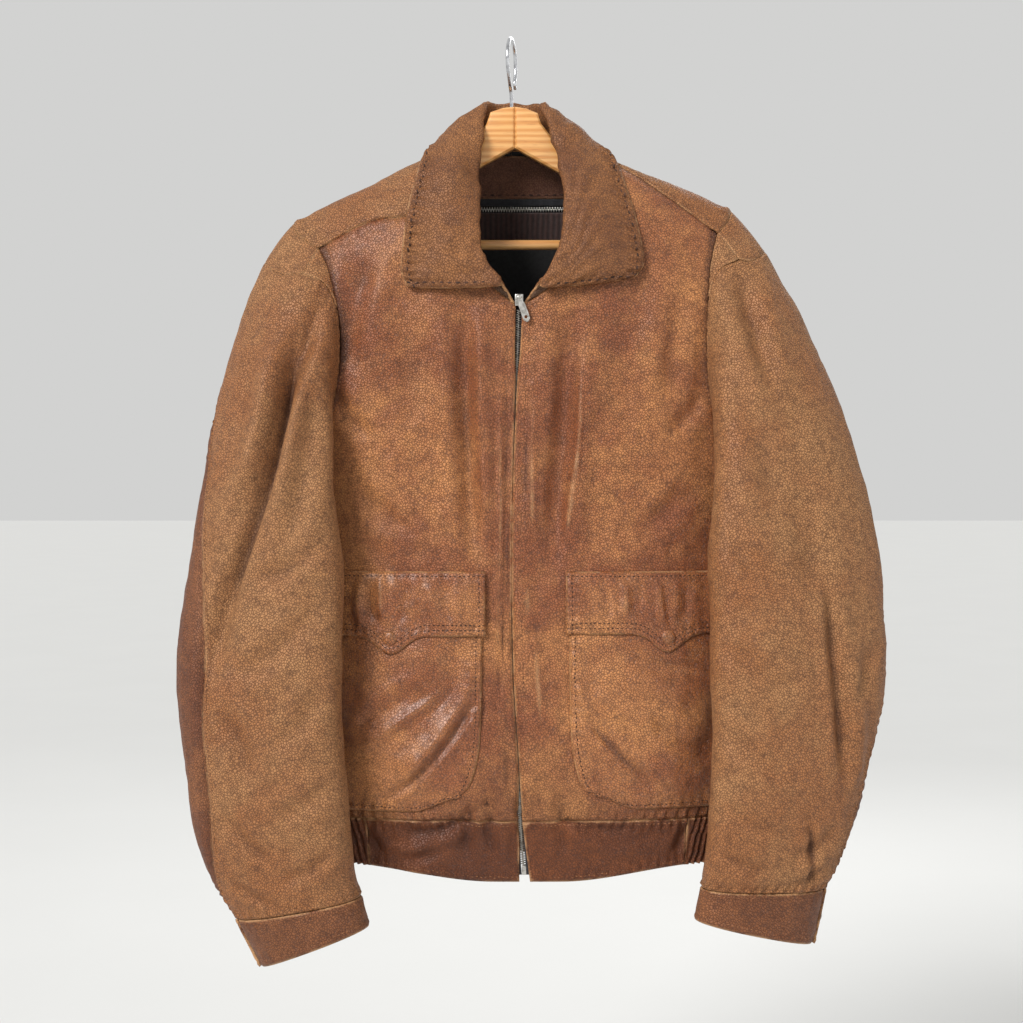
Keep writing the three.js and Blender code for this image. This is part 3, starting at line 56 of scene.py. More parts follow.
# The body as cut: half widths, depths and the shoulder line, in millimetres
SECTION_POWER = 2.6
SLEEVE_POWER = 2.25
FRONT_DROP = 120
BACK_DROP = 110
WAIST_Z = -736
HEM_Z = -794
UNDERARM_Z = -428
BACK_YOKE_Z = -232
BACK_NECK_Z = -100
RING_PARTS = {"top": 3, "front": 9, "back": 7, "rise": 6}
RING = sum(RING_PARTS.values())

# How finely the sheets are divided
FINE = 8
FRONT_ROWS = 150
BACK_COLUMNS = 130
BACK_SIDE_ROWS = 70
BAND_ROWS = 20
SLEEVE_HEAD_ROWS = 74
SLEEVE_ARM_ROWS = 82


# Small numeric helpers that take numbers or arrays

def lerp(a, b, t):
    return a + (b - a) * t


def smooth_step(low, high, v):
    t = np.clip((v - low) / (high - low), 0, 1)
    return t * t * (3 - 2 * t)


def bell(distance, width):
    return np.exp(-((distance / width) ** 2))


def hermite(a, slope_a, b, slope_b, t):
    t2 = t * t
    t3 = t2 * t
    return (
        a * (2 * t3 - 3 * t2 + 1) + slope_a * (t3 - 2 * t2 + t)
        + b * (3 * t2 - 2 * t3) + slope_b * (t3 - t2)
    )


def profile(rows):
    """A smooth function through (position, value) rows, whose position only rises or only falls."""
    places, values = (np.array([row[d] for row in rows], float) for d in (0, 1))
    if places[-1] < places[0]:
        places, values = places[::-1], values[::-1]
    last = len(places) - 1
    low = np.maximum(np.arange(last + 1) - 1, 0)
    high = np.minimum(np.arange(last + 1) + 1, last)
    slopes = (values[high] - values[low]) / (places[high] - places[low])

    def at(position):
        place = np.clip(position, places[0], places[-1])
        k = np.clip(np.searchsorted(places, place, side="right") - 1, 0, last - 1)
        step = places[k + 1] - places[k]
        t = (place - places[k]) / step
        return hermite(values[k], slopes[k] * step, values[k + 1], slopes[k + 1] * step, t)

    return at


def smooth_curve(points, fine=16):
    """A smooth curve through points of any dimension, as many short steps."""
    points = np.array(points, float)
    last = len(points) - 1
    t = np.arange(fine)[:, None] / fine
    out = []
    for k in range(last):
        before = points[max(k - 1, 0)]
        after = points[min(k + 2, last)]
        leaving, arriving = (points[k + 1] - before) / 2, (after - points[k]) / 2
        out.append(hermite(points[k], leaving, points[k + 1], arriving, t))
    out.append(points[last:])
    return np.concatenate(out)


def evenly(dense, n, place=None):
    """The same line in n steps of equal length, measured where place puts its points."""
    at = dense if place is None else place(dense)
    run = np.concatenate([[0], np.cumsum(np.linalg.norm(np.diff(at, axis=0), axis=1))])
    wanted = np.linspace(0, run[-1], n + 1)
    return np.stack([np.interp(wanted, run, dense[:, d]) for d in range(dense.shape[1])], -1)


def join(*runs):
    return np.concatenate([run if k == 0 else run[1:] for k, run in enumerate(runs)])


def fill_grid(top, bottom, left, right, power=1):
    """A grid inside four edges that share their corners."""
    u = (1 - (1 - np.linspace(0, 1, len(top))) ** power)[:, None, None]
    v = np.linspace(0, 1, len(left))[None, :, None]
    across = lerp(top[:, None], bottom[:, None], v)
    down = lerp(left[None], right[None], u)
    corners = lerp(lerp(top[0], top[-1], u), lerp(bottom[0], bottom[-1], u), v)
    return across + down - corners


def unit(a):
    return a / np.maximum(np.linalg.norm(a, axis=-1, keepdims=True), 1e-9)


# The body's surface

half_width = profile([
    (-160, 229), (-300, 228), (-430, 225), (-600, 222), (-690, 217), (-740, 209), (-800, 203),
])
front_depth = profile([(-150, 60), (-260, 66), (-430, 76), (-600, 82), (-700, 84), (-736, 77), (-800, 68)])
back_depth = profile([(-150, 50), (-300, 56), (-500, 54), (-690, 58), (-736, 52), (-800, 46)])
centre_x = profile([(-180, 0), (-270, 8), (-600, 12), (-800, 13)])
side_y = profile([(-180, 0), (-260, 3), (-430, 12), (-800, 12)])


def shoulder_line(x):
    return -69 - 0.47 * np.hypot(x, 40) + 0.03 * x


def body_point(side, x, z):
    """A point of the body; side is -1 on the front and 1 on the back."""
    share = np.minimum(np.abs((x - centre_x(z)) / half_width(z)), 1)
    oval = (1 - share ** SECTION_POWER) ** (1 / SECTION_POWER)
    reach = np.where(side < 0, FRONT_DROP, BACK_DROP)
    drop = np.clip(shoulder_line(x) - z, 0, reach)
    rounding = np.sqrt(1 - (1 - drop / reach) ** 2)
    depth = np.where(side < 0, front_depth(z), back_depth(z)) * oval * rounding
    return np.stack([x, side_y(z) + side * depth, z], -1)


def angle_of(x, z):
    share = np.clip((x - centre_x(z)) / half_width(z), -1, 1)
    return np.sign(share) * np.arcsin(np.abs(share) ** (SECTION_POWER / 2))


def to_angles(flat):
    """The same points with the angle round the body in place of x."""
    return np.stack([angle_of(flat[:, 0], flat[:, 1]), flat[:, 1]], -1)


def x_of(angle, z):
    s = np.sin(angle)
    return centre_x(z) + half_width(z) * np.sign(s) * np.abs(s) ** (2 / SECTION_POWER)


def side_seam(hand, z):
    return centre_x(z) + hand * half_width(z)


def roll_of(side, x, z):
    reach = FRONT_DROP if side < 0 else BACK_DROP
    drop = shoulder_line(x) - z
    over = np.arccos(np.clip(1 - drop / reach, -1, 1))
    return side * np.where(drop < reach, over, math.pi / 2 + (drop - reach) / reach)


def rolled(cells):
    """Points of cells of x and the rolling angle over the shoulder line, negative on the front."""
    x, roll = cells[..., 0], cells[..., 1]
    side = np.where(roll < 0, -1, 1)
    reach = np.where(side < 0, FRONT_DROP, BACK_DROP)
    turned = np.abs(roll)
    over = reach * (1 - np.cos(np.minimum(turned, math.pi / 2)))
    drop = np.where(turned < math.pi / 2, over, reach * (1 + turned - math.pi / 2))
    return body_point(side, x, shoulder_line(x) - drop)


def cells_of(side, flat):
    return np.stack([flat[..., 0], roll_of(side, flat[..., 0], flat[..., 1])], -1)


def body_seam(side, points, n):
    return evenly(smooth_curve(points), n, lambda p: body_point(side, p[:, 0], p[:, 1]))


def body_normal(cells):
    step_x, step_roll = np.array([1.5, 0]), np.array([0, 0.02])
    across = rolled(cells + step_x) - rolled(cells - step_x)
    down = rolled(cells + step_roll) - rolled(cells - step_roll)
    return unit(np.cross(across, down))


def facing_front(cells):
    """The body's normals at cells, all of them turned to the front."""
    normals = body_normal(cells)
    return normals * np.where(normals[:, 1:2] > 0, -1, 1)


HANDS = [
    {
        "hand": -1,
        "name": "right",
        "tip_x": -207,
        "yoke_seam": [(-181, -203), (-161, -192), (-142, -182), (-120, -176), (-101, -175), (-54, -166)],
        "neck": [(-54, -166), (-42, -202), (-20, -238), (4, -258)],
        "edge": [(4, -258), (2.5, -330), (-0.5, -420), (-1.5, -500), (0, -600), (5, -680), (6.5, WAIST_Z)],
        "arm_front": [(-181, -203), (-174, -217), (-168, -233), (-163, -257), (-161, -289), (-164, -330),
                      (-178, -378), (-200, -410)],
        "arm_top": [(-204, -184), (-193, -195), (-181, -203)],
        "arm_back": [(-206, -398), (-180, -345), (-171, -290), (-178, -255), (-188, -232)],
        "arm_rise": [(-188, -232), (-199, -206)],
        "neck_ridge": -66,
        "band_flare": 0.5,
        "band_end": -136,
        "band_back_end": -120,
        "pocket": {"inner": -27, "outer": -196, "top": -515, "low": -727, "flap_top": -504, "flap_low": -564,
                   "point_x": -110, "snap_z": -565},
        "stations": [
            (-300.5, -44, -514, -156, -101, -512, 33), (-308.5, -50, -575, -156, -103, -575, 33),
            (-305.5, -56, -640, -155, -103, -635, 33), (-298, -60, -700, -152, -100, -690, 32),
            (-290, -60, -755, -148, -94, -742, 31), (-273, -58, -797, -145, -86, -780, 30),
            (-252, -58, -826, -140, -82, -802, 30),
        ],
        "cuff_end": (-229, -60, -870, -133, -82, -830, 29),
        "still": 4.4,
        "back_seam": [(0, -6), (0.3, -3), (0.5, 0), (0.65, 1.2), (0.8, 1.8), (1, 2.4), (2, 2.85), (3, 2.65),
                      (4, 2.5), (5, 2.2), (6, 1.3), (7, 0.3)],
        "fold": {"line": [(0.1, 4.4), (0.6, 4.1), (0.8, 3.75), (1, 3.4), (2, 3.2), (3, 3)], "end": 2.6,
                 "width": 0.42, "depth": 12},
    },
    {
        "hand": 1,
        "name": "left",
        "tip_x": 209,
        "yoke_seam": [(194, -188), (178, -176), (159, -162), (140, -148), (121, -134), (100, -122), (72, -114)],
        "neck": [(72, -114), (70, -140), (67, -168), (58, -203), (36, -239), (10, -258)],
        "edge": [(10, -258), (8, -300), (5.5, -345), (2.5, -420), (1.5, -500), (3, -600), (8, -680),
                 (10, WAIST_Z)],
        "arm_front": [(194, -188), (190, -204), (186, -224), (184, -252), (183, -290), (186, -335),
                      (199, -380), (220, -410)],
        "arm_top": [(206, -172), (200, -181), (194, -188)],
        "arm_back": [(226, -398), (200, -345), (189, -290), (191, -255), (196, -226)],
        "arm_rise": [(196, -226), (203, -198)],
        "neck_ridge": 68,
        "band_flare": 7,
        "band_end": 165,
        "band_back_end": 150,
        "pocket": {"inner": 53, "outer": 219, "top": -515, "low": -724, "flap_top": -504, "flap_low": -562,
                   "point_x": 143, "snap_z": -564},
        "stations": [
            (344, -40, -514, 182, -101, -512, 34), (346.5, -46, -570, 183, -103, -575, 34),
            (340, -52, -632, 184, -103, -635, 34), (328, -56, -690, 183, -100, -690, 33),
            (315, -58, -738, 181, -94, -740, 31), (301, -58, -776, 178, -86, -778, 29),
            (288, -58, -798, 176, -80, -794, 25),
        ],
        "cuff_end": (277, -60, -849, 170, -78, -824, 25),
        "still": 3,
        "back_seam": [(0, -6), (0.55, -4), (1, -2), (2, -0.8), (3, 0.2), (4, 0.9), (5, 1.1), (7, 0.5)],
        "fold": {"line": [(0.1, 3.2), (1, 4.4), (3, 3)], "end": 1.6, "width": 0.8, "depth": 5},
    },
]
RIGHT, LEFT = HANDS


# Flat width and length in metres and flat area in square metres, as measured along each sheet
RIGHT["cut"] = {
    "front": (0.29, 0.6, 0.125), "yoke": (0.23, 0.3, 0.036),
    "top": (0.33, 0.66, 0.114), "under": (0.3, 0.66, 0.099),
}
LEFT["cut"] = {
    "front": (0.33, 0.66, 0.138), "yoke": (0.22, 0.24, 0.031),
    "top": (0.33, 0.64, 0.136), "under": (0.29, 0.64, 0.078),
}


def prepare_hand(h):
    """Works out the seams that neighbours share, finely stepped."""
    steps = {name: count * FINE for name, count in RING_PARTS.items()}
    tip = (h["tip_x"], float(shoulder_line(h["tip_x"])))
    underarm = (float(side_seam(h["hand"], UNDERARM_Z)), UNDERARM_Z)
    seams = {
        "arm_top": body_seam(-1, [tip, *h["arm_top"]], steps["top"]),
        "arm_front": body_seam(-1, [*h["arm_front"], underarm], steps["front"]),
        "arm_back": body_seam(1, [underarm, *h["arm_back"]], steps["back"]),
        "arm_rise": body_seam(1, [*h["arm_rise"], tip], steps["rise"]),
        "yoke": body_seam(-1, h["yoke_seam"], 6 * FINE),
        "neck": body_seam(-1, h["neck"], 7 * FINE),
    }
    h["seams"] = seams
    cells = np.concatenate([
        cells_of(-1, seams["arm_top"][:-1]), cells_of(-1, seams["arm_front"][:-1]),
        cells_of(1, seams["arm_back"][:-1]), cells_of(1, seams["arm_rise"][:-1]),
    ])
    h["armhole"] = rolled(cells)
    h["edge_x"] = profile([(z, x) for x, z in h["edge"]])
    h["station_parts"] = [profile(list(enumerate(row[d] for row in h["stations"]))) for d in range(7)]
    h["seam_at"] = profile(h["back_seam"])
    h["fold_at"] = profile(h["fold"]["line"])


for each_hand in HANDS:
    prepare_hand(each_hand)


def front_grid(h):
    neck_z = h["neck"][-1][1]
    arm = h["seams"]["arm_front"]
    rows_below = FRONT_ROWS - (len(arm) - 1)
    side_z = np.linspace(UNDERARM_Z, WAIST_Z, rows_below + 1)
    left = join(arm, np.stack([side_seam(h["hand"], side_z), side_z], -1))
    edge_z = np.linspace(neck_z, WAIST_Z, FRONT_ROWS + 1)
    right = np.stack([h["edge_x"](edge_z), edge_z], -1)
    top = join(h["seams"]["yoke"], h["seams"]["neck"])
    low_ends = [float(angle_of(side[-1, 0], WAIST_Z)) for side in (left, right)]
    bottom = np.stack([np.linspace(*low_ends, len(top)), np.full(len(top), WAIST_Z)], -1)
    flat = fill_grid(to_angles(top), bottom, to_angles(left), to_angles(right), 2)
    x = x_of(flat[..., 0], flat[..., 1])
    return body_point(-1, x, flat[..., 1])


def yoke_cells(h):
    seams = h["seams"]
    front_seam = cells_of(-1, seams["yoke"])
    arm = join(cells_of(-1, seams["arm_top"][::-1]), cells_of(1, seams["arm_rise"][::-1]))
    neck_end = h["yoke_seam"][-1]
    end_roll = float(roll_of(-1, *neck_end))
    ridge = h["neck_ridge"]
    neckline = evenly(smooth_curve([
        (neck_end[0], end_roll),
        (lerp(neck_end[0], ridge, 0.7), end_roll * 0.5),
        (ridge, 0),
        (ridge * 0.9, float(roll_of(1, ridge * 0.9, -104))),
        (ridge * 0.5, float(roll_of(1, ridge * 0.5, -101))),
        (0, float(roll_of(1, 0, BACK_NECK_Z))),
    ]), 5 * FINE, rolled)
    h["yoke_neck"] = neckline
    centre_z = np.linspace(BACK_NECK_Z, BACK_YOKE_Z, len(arm) - 5 * FINE)
    centre = cells_of(1, np.stack([np.zeros(len(centre_z)), centre_z], -1))
    t = np.linspace(0, 1, len(front_seam))
    back_end = h["arm_rise"][0]
    back = np.stack([lerp(back_end[0], 0, t), lerp(back_end[1], BACK_YOKE_Z, np.sin(t * math.pi / 2))], -1)
    h["yoke_back"] = back
    return fill_grid(front_seam, cells_of(1, back), arm, join(neckline, centre))


def back_grid():
    def down(h):
        side_z = np.linspace(UNDERARM_Z, WAIST_Z, BACK_SIDE_ROWS + 1)
        return join(h["seams"]["arm_back"][::-1], np.stack([side_seam(h["hand"], side_z), side_z], -1))

    top = evenly(join(RIGHT["yoke_back"][::2], LEFT["yoke_back"][::-1][::2]), BACK_COLUMNS)
    bottom = np.stack([np.linspace(-math.pi / 2, math.pi / 2, len(top)), np.full(len(top), WAIST_Z)], -1)
    flat = fill_grid(to_angles(top), bottom, to_angles(down(RIGHT)), to_angles(down(LEFT)))
    return body_point(1, x_of(flat[..., 0], flat[..., 1]), flat[..., 1])


# Sleeves: k goes round from the shoulder tip by the front, v down from the armhole

ring_angle = profile([
    (0, 0), (4, math.pi / 2), (8, math.pi), (12, 1.5 * math.pi), (19, 1.5 * math.pi + 1.1), (RING, 2 * math.pi),
])
LEAVING = [
    (0, (0.72, -0.05, -0.69)), (3, (0.55, -0.5, -0.67)), (5, (0.3, -0.62, -0.72)), (8, (0.1, -0.6, -0.79)),
    (10, (0.35, -0.7, -0.62)), (12, (0.8, -0.3, -0.52)), (15, (0.9, 0.2, -0.4)), (19, (0.85, 0.25, -0.46)),
    (25, (0.72, -0.05, -0.69)),
]
leaving_parts = [profile([(k, v[d]) for k, v in LEAVING]) for d in range(3)]
cap_depth = profile([(-7, 0.012), (-6, 0.07), (-3, 0.15), (2, 0.15), (3, 0.12), (4, 0.05), (5, 0.012)])
armpit_gap = profile([(8, 0), (10, 0.006), (11, 0.01), (12, 0.01), (14, 0)])
CAP_BACK, CAP_SPLIT, CAP_FRONT, FRONT_SEAM, HOLD, SEAM_NOTCH = -7, 3, 5, 10, 12, -6


def ring_point(outer, inner, depth, angle):
    reach = (outer - inner) / 2
    flat = unit(reach * np.array([1, 1, 0]))
    turned = np.stack([-flat[..., 1], flat[..., 0], np.zeros(flat.shape[:-1])], -1)
    front = np.where(flat[..., :1] < 0, turned, -turned)

    def bend(v):
        return (np.sign(v) * np.abs(v) ** (2 / SLEEVE_POWER))[..., None]

    return (outer + inner) / 2 + reach * bend(np.cos(angle)) + front * depth[..., None] * bend(np.sin(angle))


def station_ring(h, v, angle):
    parts = [part(v) for part in h["station_parts"]]
    return ring_point(np.stack(parts[:3], -1), np.stack(parts[3:6], -1), parts[6], angle)


def on_armhole(h, k):
    ring = h["armhole"]
    place = (k % RING) * FINE
    low = np.floor(place).astype(int)
    return lerp(ring[low % len(ring)], ring[(low + 1) % len(ring)], (place - low)[..., None])


def sleeve_point(h, k, v):
    wrapped = k % RING
    angle = ring_angle(wrapped)
    lower = station_ring(h, np.maximum(v - 1, 0), angle)
    start = on_armhole(h, wrapped)
    end = station_ring(h, np.zeros_like(v), angle)
    below = station_ring(h, np.full_like(v, 0.5), angle)
    chord = np.linalg.norm(end - start, axis=-1, keepdims=True)
    leaving = unit(np.stack([part(wrapped) for part in leaving_parts], -1)) * np.array([h["hand"], 1, 1])
    t = np.clip(v, 0, 1)[..., None]
    head = hermite(start, leaving * chord * 0.75, end, unit(below - end) * chord * 0.85, t)
    return np.where((v >= 1)[..., None], lower, head)


def top_place(h, column, v):
    moved = lerp(h["seam_at"](v), h["still"], (column - SEAM_NOTCH) / (h["still"] - SEAM_NOTCH))
    return np.where(column >= h["still"], column, moved)


def under_place(h, column, v):
    seam = h["seam_at"](v) - SEAM_NOTCH
    share = np.maximum(column - HOLD, 0) / (RING + SEAM_NOTCH - HOLD)
    return column + seam * share ** 2


def around_top(k):
    return np.where(k > RING / 2, k - RING, k)


def head_start(h, column, place):
    """How far below the armhole each column starts, under the sleeve head pieces."""
    capped = (column <= CAP_FRONT) | (column >= RING + CAP_BACK)

    def cap_edge(k):
        return np.where((k >= CAP_BACK) & (k <= CAP_FRONT), cap_depth(k), 0)

    start = cap_edge(around_top(column))
    for _ in range(12):
        start = np.maximum(cap_edge(around_top(place(h, column, start))), 0.0115)
    ramp = 0.012 * np.clip(column - (RING + CAP_BACK - 1), 0, 1)
    return np.where(capped, start, np.maximum(armpit_gap(column), ramp))


def sleeve_rows(h, columns, place, head, arm):
    """The k and v of every point of a sleeve piece."""
    start = head_start(h, columns, place)[:, None]
    share = np.linspace(0, 1, head + 1)[None]
    arm_v = np.repeat(np.linspace(1, 7, arm + 1)[None, 1:], len(columns), 0)
    v = np.concatenate([start + (1 - start) * share, arm_v], 1)
    k = place(h, np.repeat(columns[:, None], v.shape[1], 1), v)
    return around_top(k), v


def cap_cells(h, labels, rows):
    """Cells of a sleeve head piece, from the armhole to the sleeve's own upper edge."""
    top_label = np.maximum(labels, SEAM_NOTCH)
    start = head_start(h, top_label, top_place)
    low_k = top_place(h, top_label, start)
    under = np.array([RING + CAP_BACK], float)
    under_start = head_start(h, under, under_place)
    under_k = around_top(under_place(h, under, under_start))
    share = np.clip(SEAM_NOTCH - labels, 0, 1)
    low_k = lerp(low_k, under_k, share)
    low_v = lerp(start, under_start, share)
    t = np.linspace(0, 1, rows + 1)[None]
    return lerp(labels[:, None], low_k[:, None], t), low_v[:, None] * t


# Creases, each a line of x and z with a half width and a depth below the cloth; a ridge's depth is negative

# A crease's painted shade counts its depth up to MOST_SHADE, and is stronger for creases narrower than SHARP_WIDTH
MOST_SHADE = 3
SHARP_WIDTH = 5

FRONT_CREASES = [
    ([(-44, -236), (-44, -330), (-41, -400), (-38, -459), (-33, -520)], 9, 5.5),
    ([(56, -240), (49, -349), (44, -400), (40, -470), (36, -520)], 10, 5.5),
    ([(64, -320), (62, -395), (57, -441), (50, -496)], 9, -1.6),
    ([(-28, -250), (-29, -330), (-26, -420), (-24, -480)], 7, -1.6),
    ([(-5, -275), (-3, -349), (-4, -404), (-5, -441), (-4, -478), (-6, -533), (-10, -570), (-14, -616),
      (-20, -653), (-26, -690), (-32, -708)], 2.6, 1.6),
    ([(-11, -310), (-10, -440), (-11, -540), (-17, -620), (-28, -700)], 2.6, -1.9),
    ([(20, -285), (20, -386), (17, -459), (16, -533), (22, -588), (27, -630), (33, -700)], 2.6, -2.2),
    ([(14, -300), (14, -400), (12, -470), (12, -540), (16, -600), (20, -690)], 2.6, 1.6),
    ([(64, -300), (62, -380), (54, -441), (46, -510)], 2.6, -1.7),
    ([(-132, -202), (-142, -240), (-153, -285), (-158, -330)], 12, 3.6),
    ([(-100, -205), (-98, -260), (-92, -330), (-88, -400)], 16, 2.4),
    ([(120, -190), (112, -260), (104, -330), (100, -400)], 16, 2.4),
    ([(160, -235), (150, -290), (146, -350)], 9, 2.4),
    ([(-6, -657), (-4, -699), (-8, -717)], 3, 2.0),
    ([(-18, -716), (-36, -728)], 4, 2.0),
    ([(30, -690), (24, -720), (22, -734)], 4, 1.8),
    ([(-150, -420), (-120, -450), (-84, -470)], 9, 1.8),
    ([(170, -420), (140, -452), (108, -470)], 9, 1.8),
    ([(-166, -330), (-150, -362), (-124, -384)], 7, 2.2),
    ([(182, -330), (164, -360), (140, -380)], 7, 2.2),
    ([(-24, -690), (-20, -735), (-17, -790)], 5, 2.4),
    ([(-33, -700), (-40, -742), (-46, -785)], 5, 2.2),
    ([(-30, -716), (-52, -738), (-84, -748), (-112, -744)], 5, 2.6),
    ([(-40, -742), (-64, -758), (-96, -764), (-124, -758)], 4.5, -1.8),
    ([(-50, -722), (-80, -731), (-118, -734)], 4, -1.6),
    ([(-60, -752), (-84, -772), (-112, -776)], 6, 1.8),
    ([(8, -700), (4, -740), (2, -785)], 4, 1.6),
    ([(42, -690), (46, -735), (50, -780)], 6, 2.0),
    ([(34, -716), (58, -738), (92, -744), (130, -742)], 5, 2.0),
    ([(60, -752), (96, -764), (140, -760)], 6, -1.4),
    ([(-150, -738), (-132, -752), (-120, -775)], 5, 2.0),
    ([(170, -738), (160, -752), (152, -772)], 5, 1.8),
]
POCKET_CREASES = [
    ([(-26, -596), (-34, -622), (-46, -643), (-66, -671), (-89, -696), (-107, -708), (-134, -726)], 4.2, 3.4),
    ([(-50, -630), (-74, -668), (-104, -694)], 12, -3.0),
    ([(-52, -596), (-72, -622), (-100, -642), (-128, -664), (-150, -676)], 3.6, -2.0),
    ([(-170, -560), (-164, -600), (-160, -650)], 9, -1.8),
    ([(-50, -560), (-56, -600), (-76, -640)], 12, 2.2),
    ([(-70, -604), (-112, -630), (-160, -662)], 7, 2.0),
    ([(-170, -590), (-160, -640), (-150, -690)], 8, 1.8),
    ([(64, -632), (84, -656), (106, -680), (128, -700), (140, -712)], 4.2, 2.8),
    ([(58, -560), (62, -610), (74, -660)], 7, -1.6),
    ([(92, -566), (128, -592), (176, -600)], 9, 2.0),
    ([(120, -636), (160, -664), (200, -680)], 10, 2.0),
    ([(72, -610), (96, -628), (140, -650)], 8, -2.0),
    ([(66, -628), (92, -652), (136, -676)], 7, 1.6),
    ([(196, -600), (186, -650), (176, -690)], 8, 1.8),
]
FLAP_CREASES = [
    ([(-138, -508), (-141, -536), (-134, -562)], 3.4, -1.7),
    ([(-120, -506), (-119, -530), (-116, -556)], 3.4, -1.8),
    ([(-129, -508), (-130, -534), (-125, -556)], 4.2, 1.6),
    ([(-96, -508), (-98, -532), (-104, -556)], 5, 1.4),
    ([(-76, -510), (-72, -536), (-64, -556)], 5, -1.2),
    ([(-58, -510), (-60, -536), (-54, -556)], 6, 1.3),
    ([(84, -508), (88, -530), (84, -554)], 5, 1.4),
    ([(103, -508), (104, -530), (102, -552)], 3.4, -1.7),
    ([(118, -508), (116, -532), (120, -556)], 4.6, 1.5),
    ([(134, -508), (136, -532), (140, -560)], 3.4, -1.8),
    ([(160, -510), (160, -536), (154, -556)], 5, 1.4),
    ([(186, -510), (184, -536), (190, -552)], 6, -1.2),
]
SLEEVE_CREASES = {
    "right": [
        ([(-196, -262), (-206, -330), (-216, -388), (-231, -446), (-254, -515), (-265, -572)], 6, 5.6),
        ([(-214, -270), (-226, -340), (-238, -400), (-254, -452)], 9, -4.0),
        ([(-186, -300), (-196, -360), (-204, -420), (-214, -470)], 8, -3.0),
        ([(-240, -440), (-262, -500), (-276, -548), (-284, -600)], 8, -3.0),
        ([(-176, -330), (-184, -400), (-196, -460), (-210, -520)], 9, 2.8),
        ([(-166, -470), (-200, -500), (-240, -512)], 8, 2.4),
        ([(-164, -520), (-196, -560), (-236, -590), (-262, -598)], 9, 2.8),
        ([(-164, -600), (-190, -640), (-222, -668)], 8, 2.2),
        ([(-262, -620), (-244, -660), (-236, -700)], 9, 2.6),
        ([(-160, -690), (-186, -712), (-214, -724)], 7, 2.2),
        ([(-262, -720), (-240, -748), (-214, -766)], 7, 2.4),
        ([(-156, -752), (-186, -774), (-214, -784)], 6, 2.2),
        ([(-256, -782), (-232, -800), (-208, -806)], 5, 1.8),
    ],
    "left": [
        ([(209, -212), (218, -250), (230, -292), (240, -340)], 10, 3.6),
        ([(226, -236), (244, -300), (256, -360)], 9, -2.6),
        ([(200, -290), (214, -350), (230, -410), (240, -470)], 11, 2.8),
        ([(286, -490), (290, -551), (297, -625), (302, -680), (304, -715)], 6, 4.6),
        ([(268, -720), (274, -760), (272, -800)], 4, 2.6),
        ([(308, -560), (314, -620), (318, -662), (309, -712)], 6, -2.4),
        ([(190, -470), (224, -500), (262, -512)], 9, 2.4),
        ([(190, -560), (226, -596), (262, -612)], 9, 2.6),
        ([(334, -560), (320, -600), (306, -640)], 7, 2.0),
        ([(188, -640), (220, -668), (252, -690)], 8, 2.2),
        ([(186, -706), (214, -728), (246, -742)], 7, 2.2),
        ([(300, -730), (278, -752), (250, -764)], 7, 2.2),
        ([(184, -752), (208, -768), (238, -776)], 6, 2.0),
        ([(290, -770), (270, -784), (248, -788)], 5, 1.8),
        ([(252, -420), (270, -470), (276, -530)], 12, 2.4),
    ],
}
SLEEVE_BACK_CREASES = {
    "right": [
        ([(-220, -300), (-250, -360), (-268, -430)], 12, 3.4),
        ([(-200, -420), (-230, -480), (-262, -520)], 11, 3.4),
        ([(-180, -520), (-224, -560), (-270, -580)], 10, 3.2),
        ([(-180, -620), (-220, -650), (-262, -660)], 9, 2.8),
        ([(-170, -700), (-206, -724), (-240, -734)], 8, 2.6),
        ([(-166, -764), (-200, -782), (-232, -790)], 6, 2.0),
    ],
    "left": [
        ([(240, -290), (270, -350), (292, -420)], 12, 3.4),
        ([(222, -420), (256, -480), (296, -520)], 11, 3.4),
        ([(214, -520), (256, -560), (306, -580)], 10, 3.2),
        ([(210, -620), (250, -650), (300, -660)], 9, 2.8),
        ([(204, -700), (240, -724), (280, -734)], 8, 2.6),
        ([(200, -756), (232, -772), (264, -780)], 6, 2.0),
    ],
}
BACK_CREASES = [
    ([(-120, -250), (-112, -360), (-104, -480), (-100, -600)], 20, 5.0),
    ([(-60, -260), (-56, -380), (-60, -520), (-64, -640)], 22, 4.0),
    ([(10, -250), (12, -380), (8, -520), (14, -660)], 20, 3.6),
    ([(76, -260), (74, -390), (78, -530), (74, -650)], 22, 4.4),
    ([(140, -250), (132, -350), (126, -480), (120, -600)], 20, 5.0),
    ([(-196, -440), (-150, -500), (-100, -540)], 12, 3.0),
    ([(214, -440), (170, -500), (120, -540)], 12, 3.0),
    ([(-150, -660), (-90, -690), (-30, -700)], 10, 2.4),
    ([(160, -650), (110, -684), (50, -700)], 10, 2.4),
]


def crease_depth(x, z, creases):
    """How far creases put each point below the plain form, and the painted shade of its troughs and the rubbing of
    its ridges.
    """
    total, shade = np.zeros_like(x), np.zeros_like(x)
    for line, width, depth in creases:
        line = evenly(smooth_curve(line, 6), 14)
        best = np.full_like(x, 1e9)
        along = np.zeros_like(x)
        for n, (a, b) in enumerate(zip(line[:-1], line[1:])):
            run = b - a
            t = np.clip(((x - a[0]) * run[0] + (z - a[1]) * run[1]) / (run @ run), 0, 1)
            distance = np.hypot(x - a[0] - t * run[0], z - a[1] - t * run[1])
            closer = distance < best
            best = np.where(closer, distance, best)
            along = np.where(closer, (n + t) / (len(line) - 1), along)
        taper = smooth_step(0, 0.3, along) * smooth_step(1, 0.7, along)
        shape = bell(best, width) - 0.35 * bell(best - 1.9 * width, width)
        total += depth * taper * shape
        # The shade darkens a trough in the colour as painted shade and rubs a ridge paler, more for narrow creases
        clearness = min(max(SHARP_WIDTH / width, 0.45), 2)
        strength = math.copysign(min(abs(depth), MOST_SHADE), depth)
        shade += strength * taper * bell(best, 0.8 * width) * clearness
    return total, shade


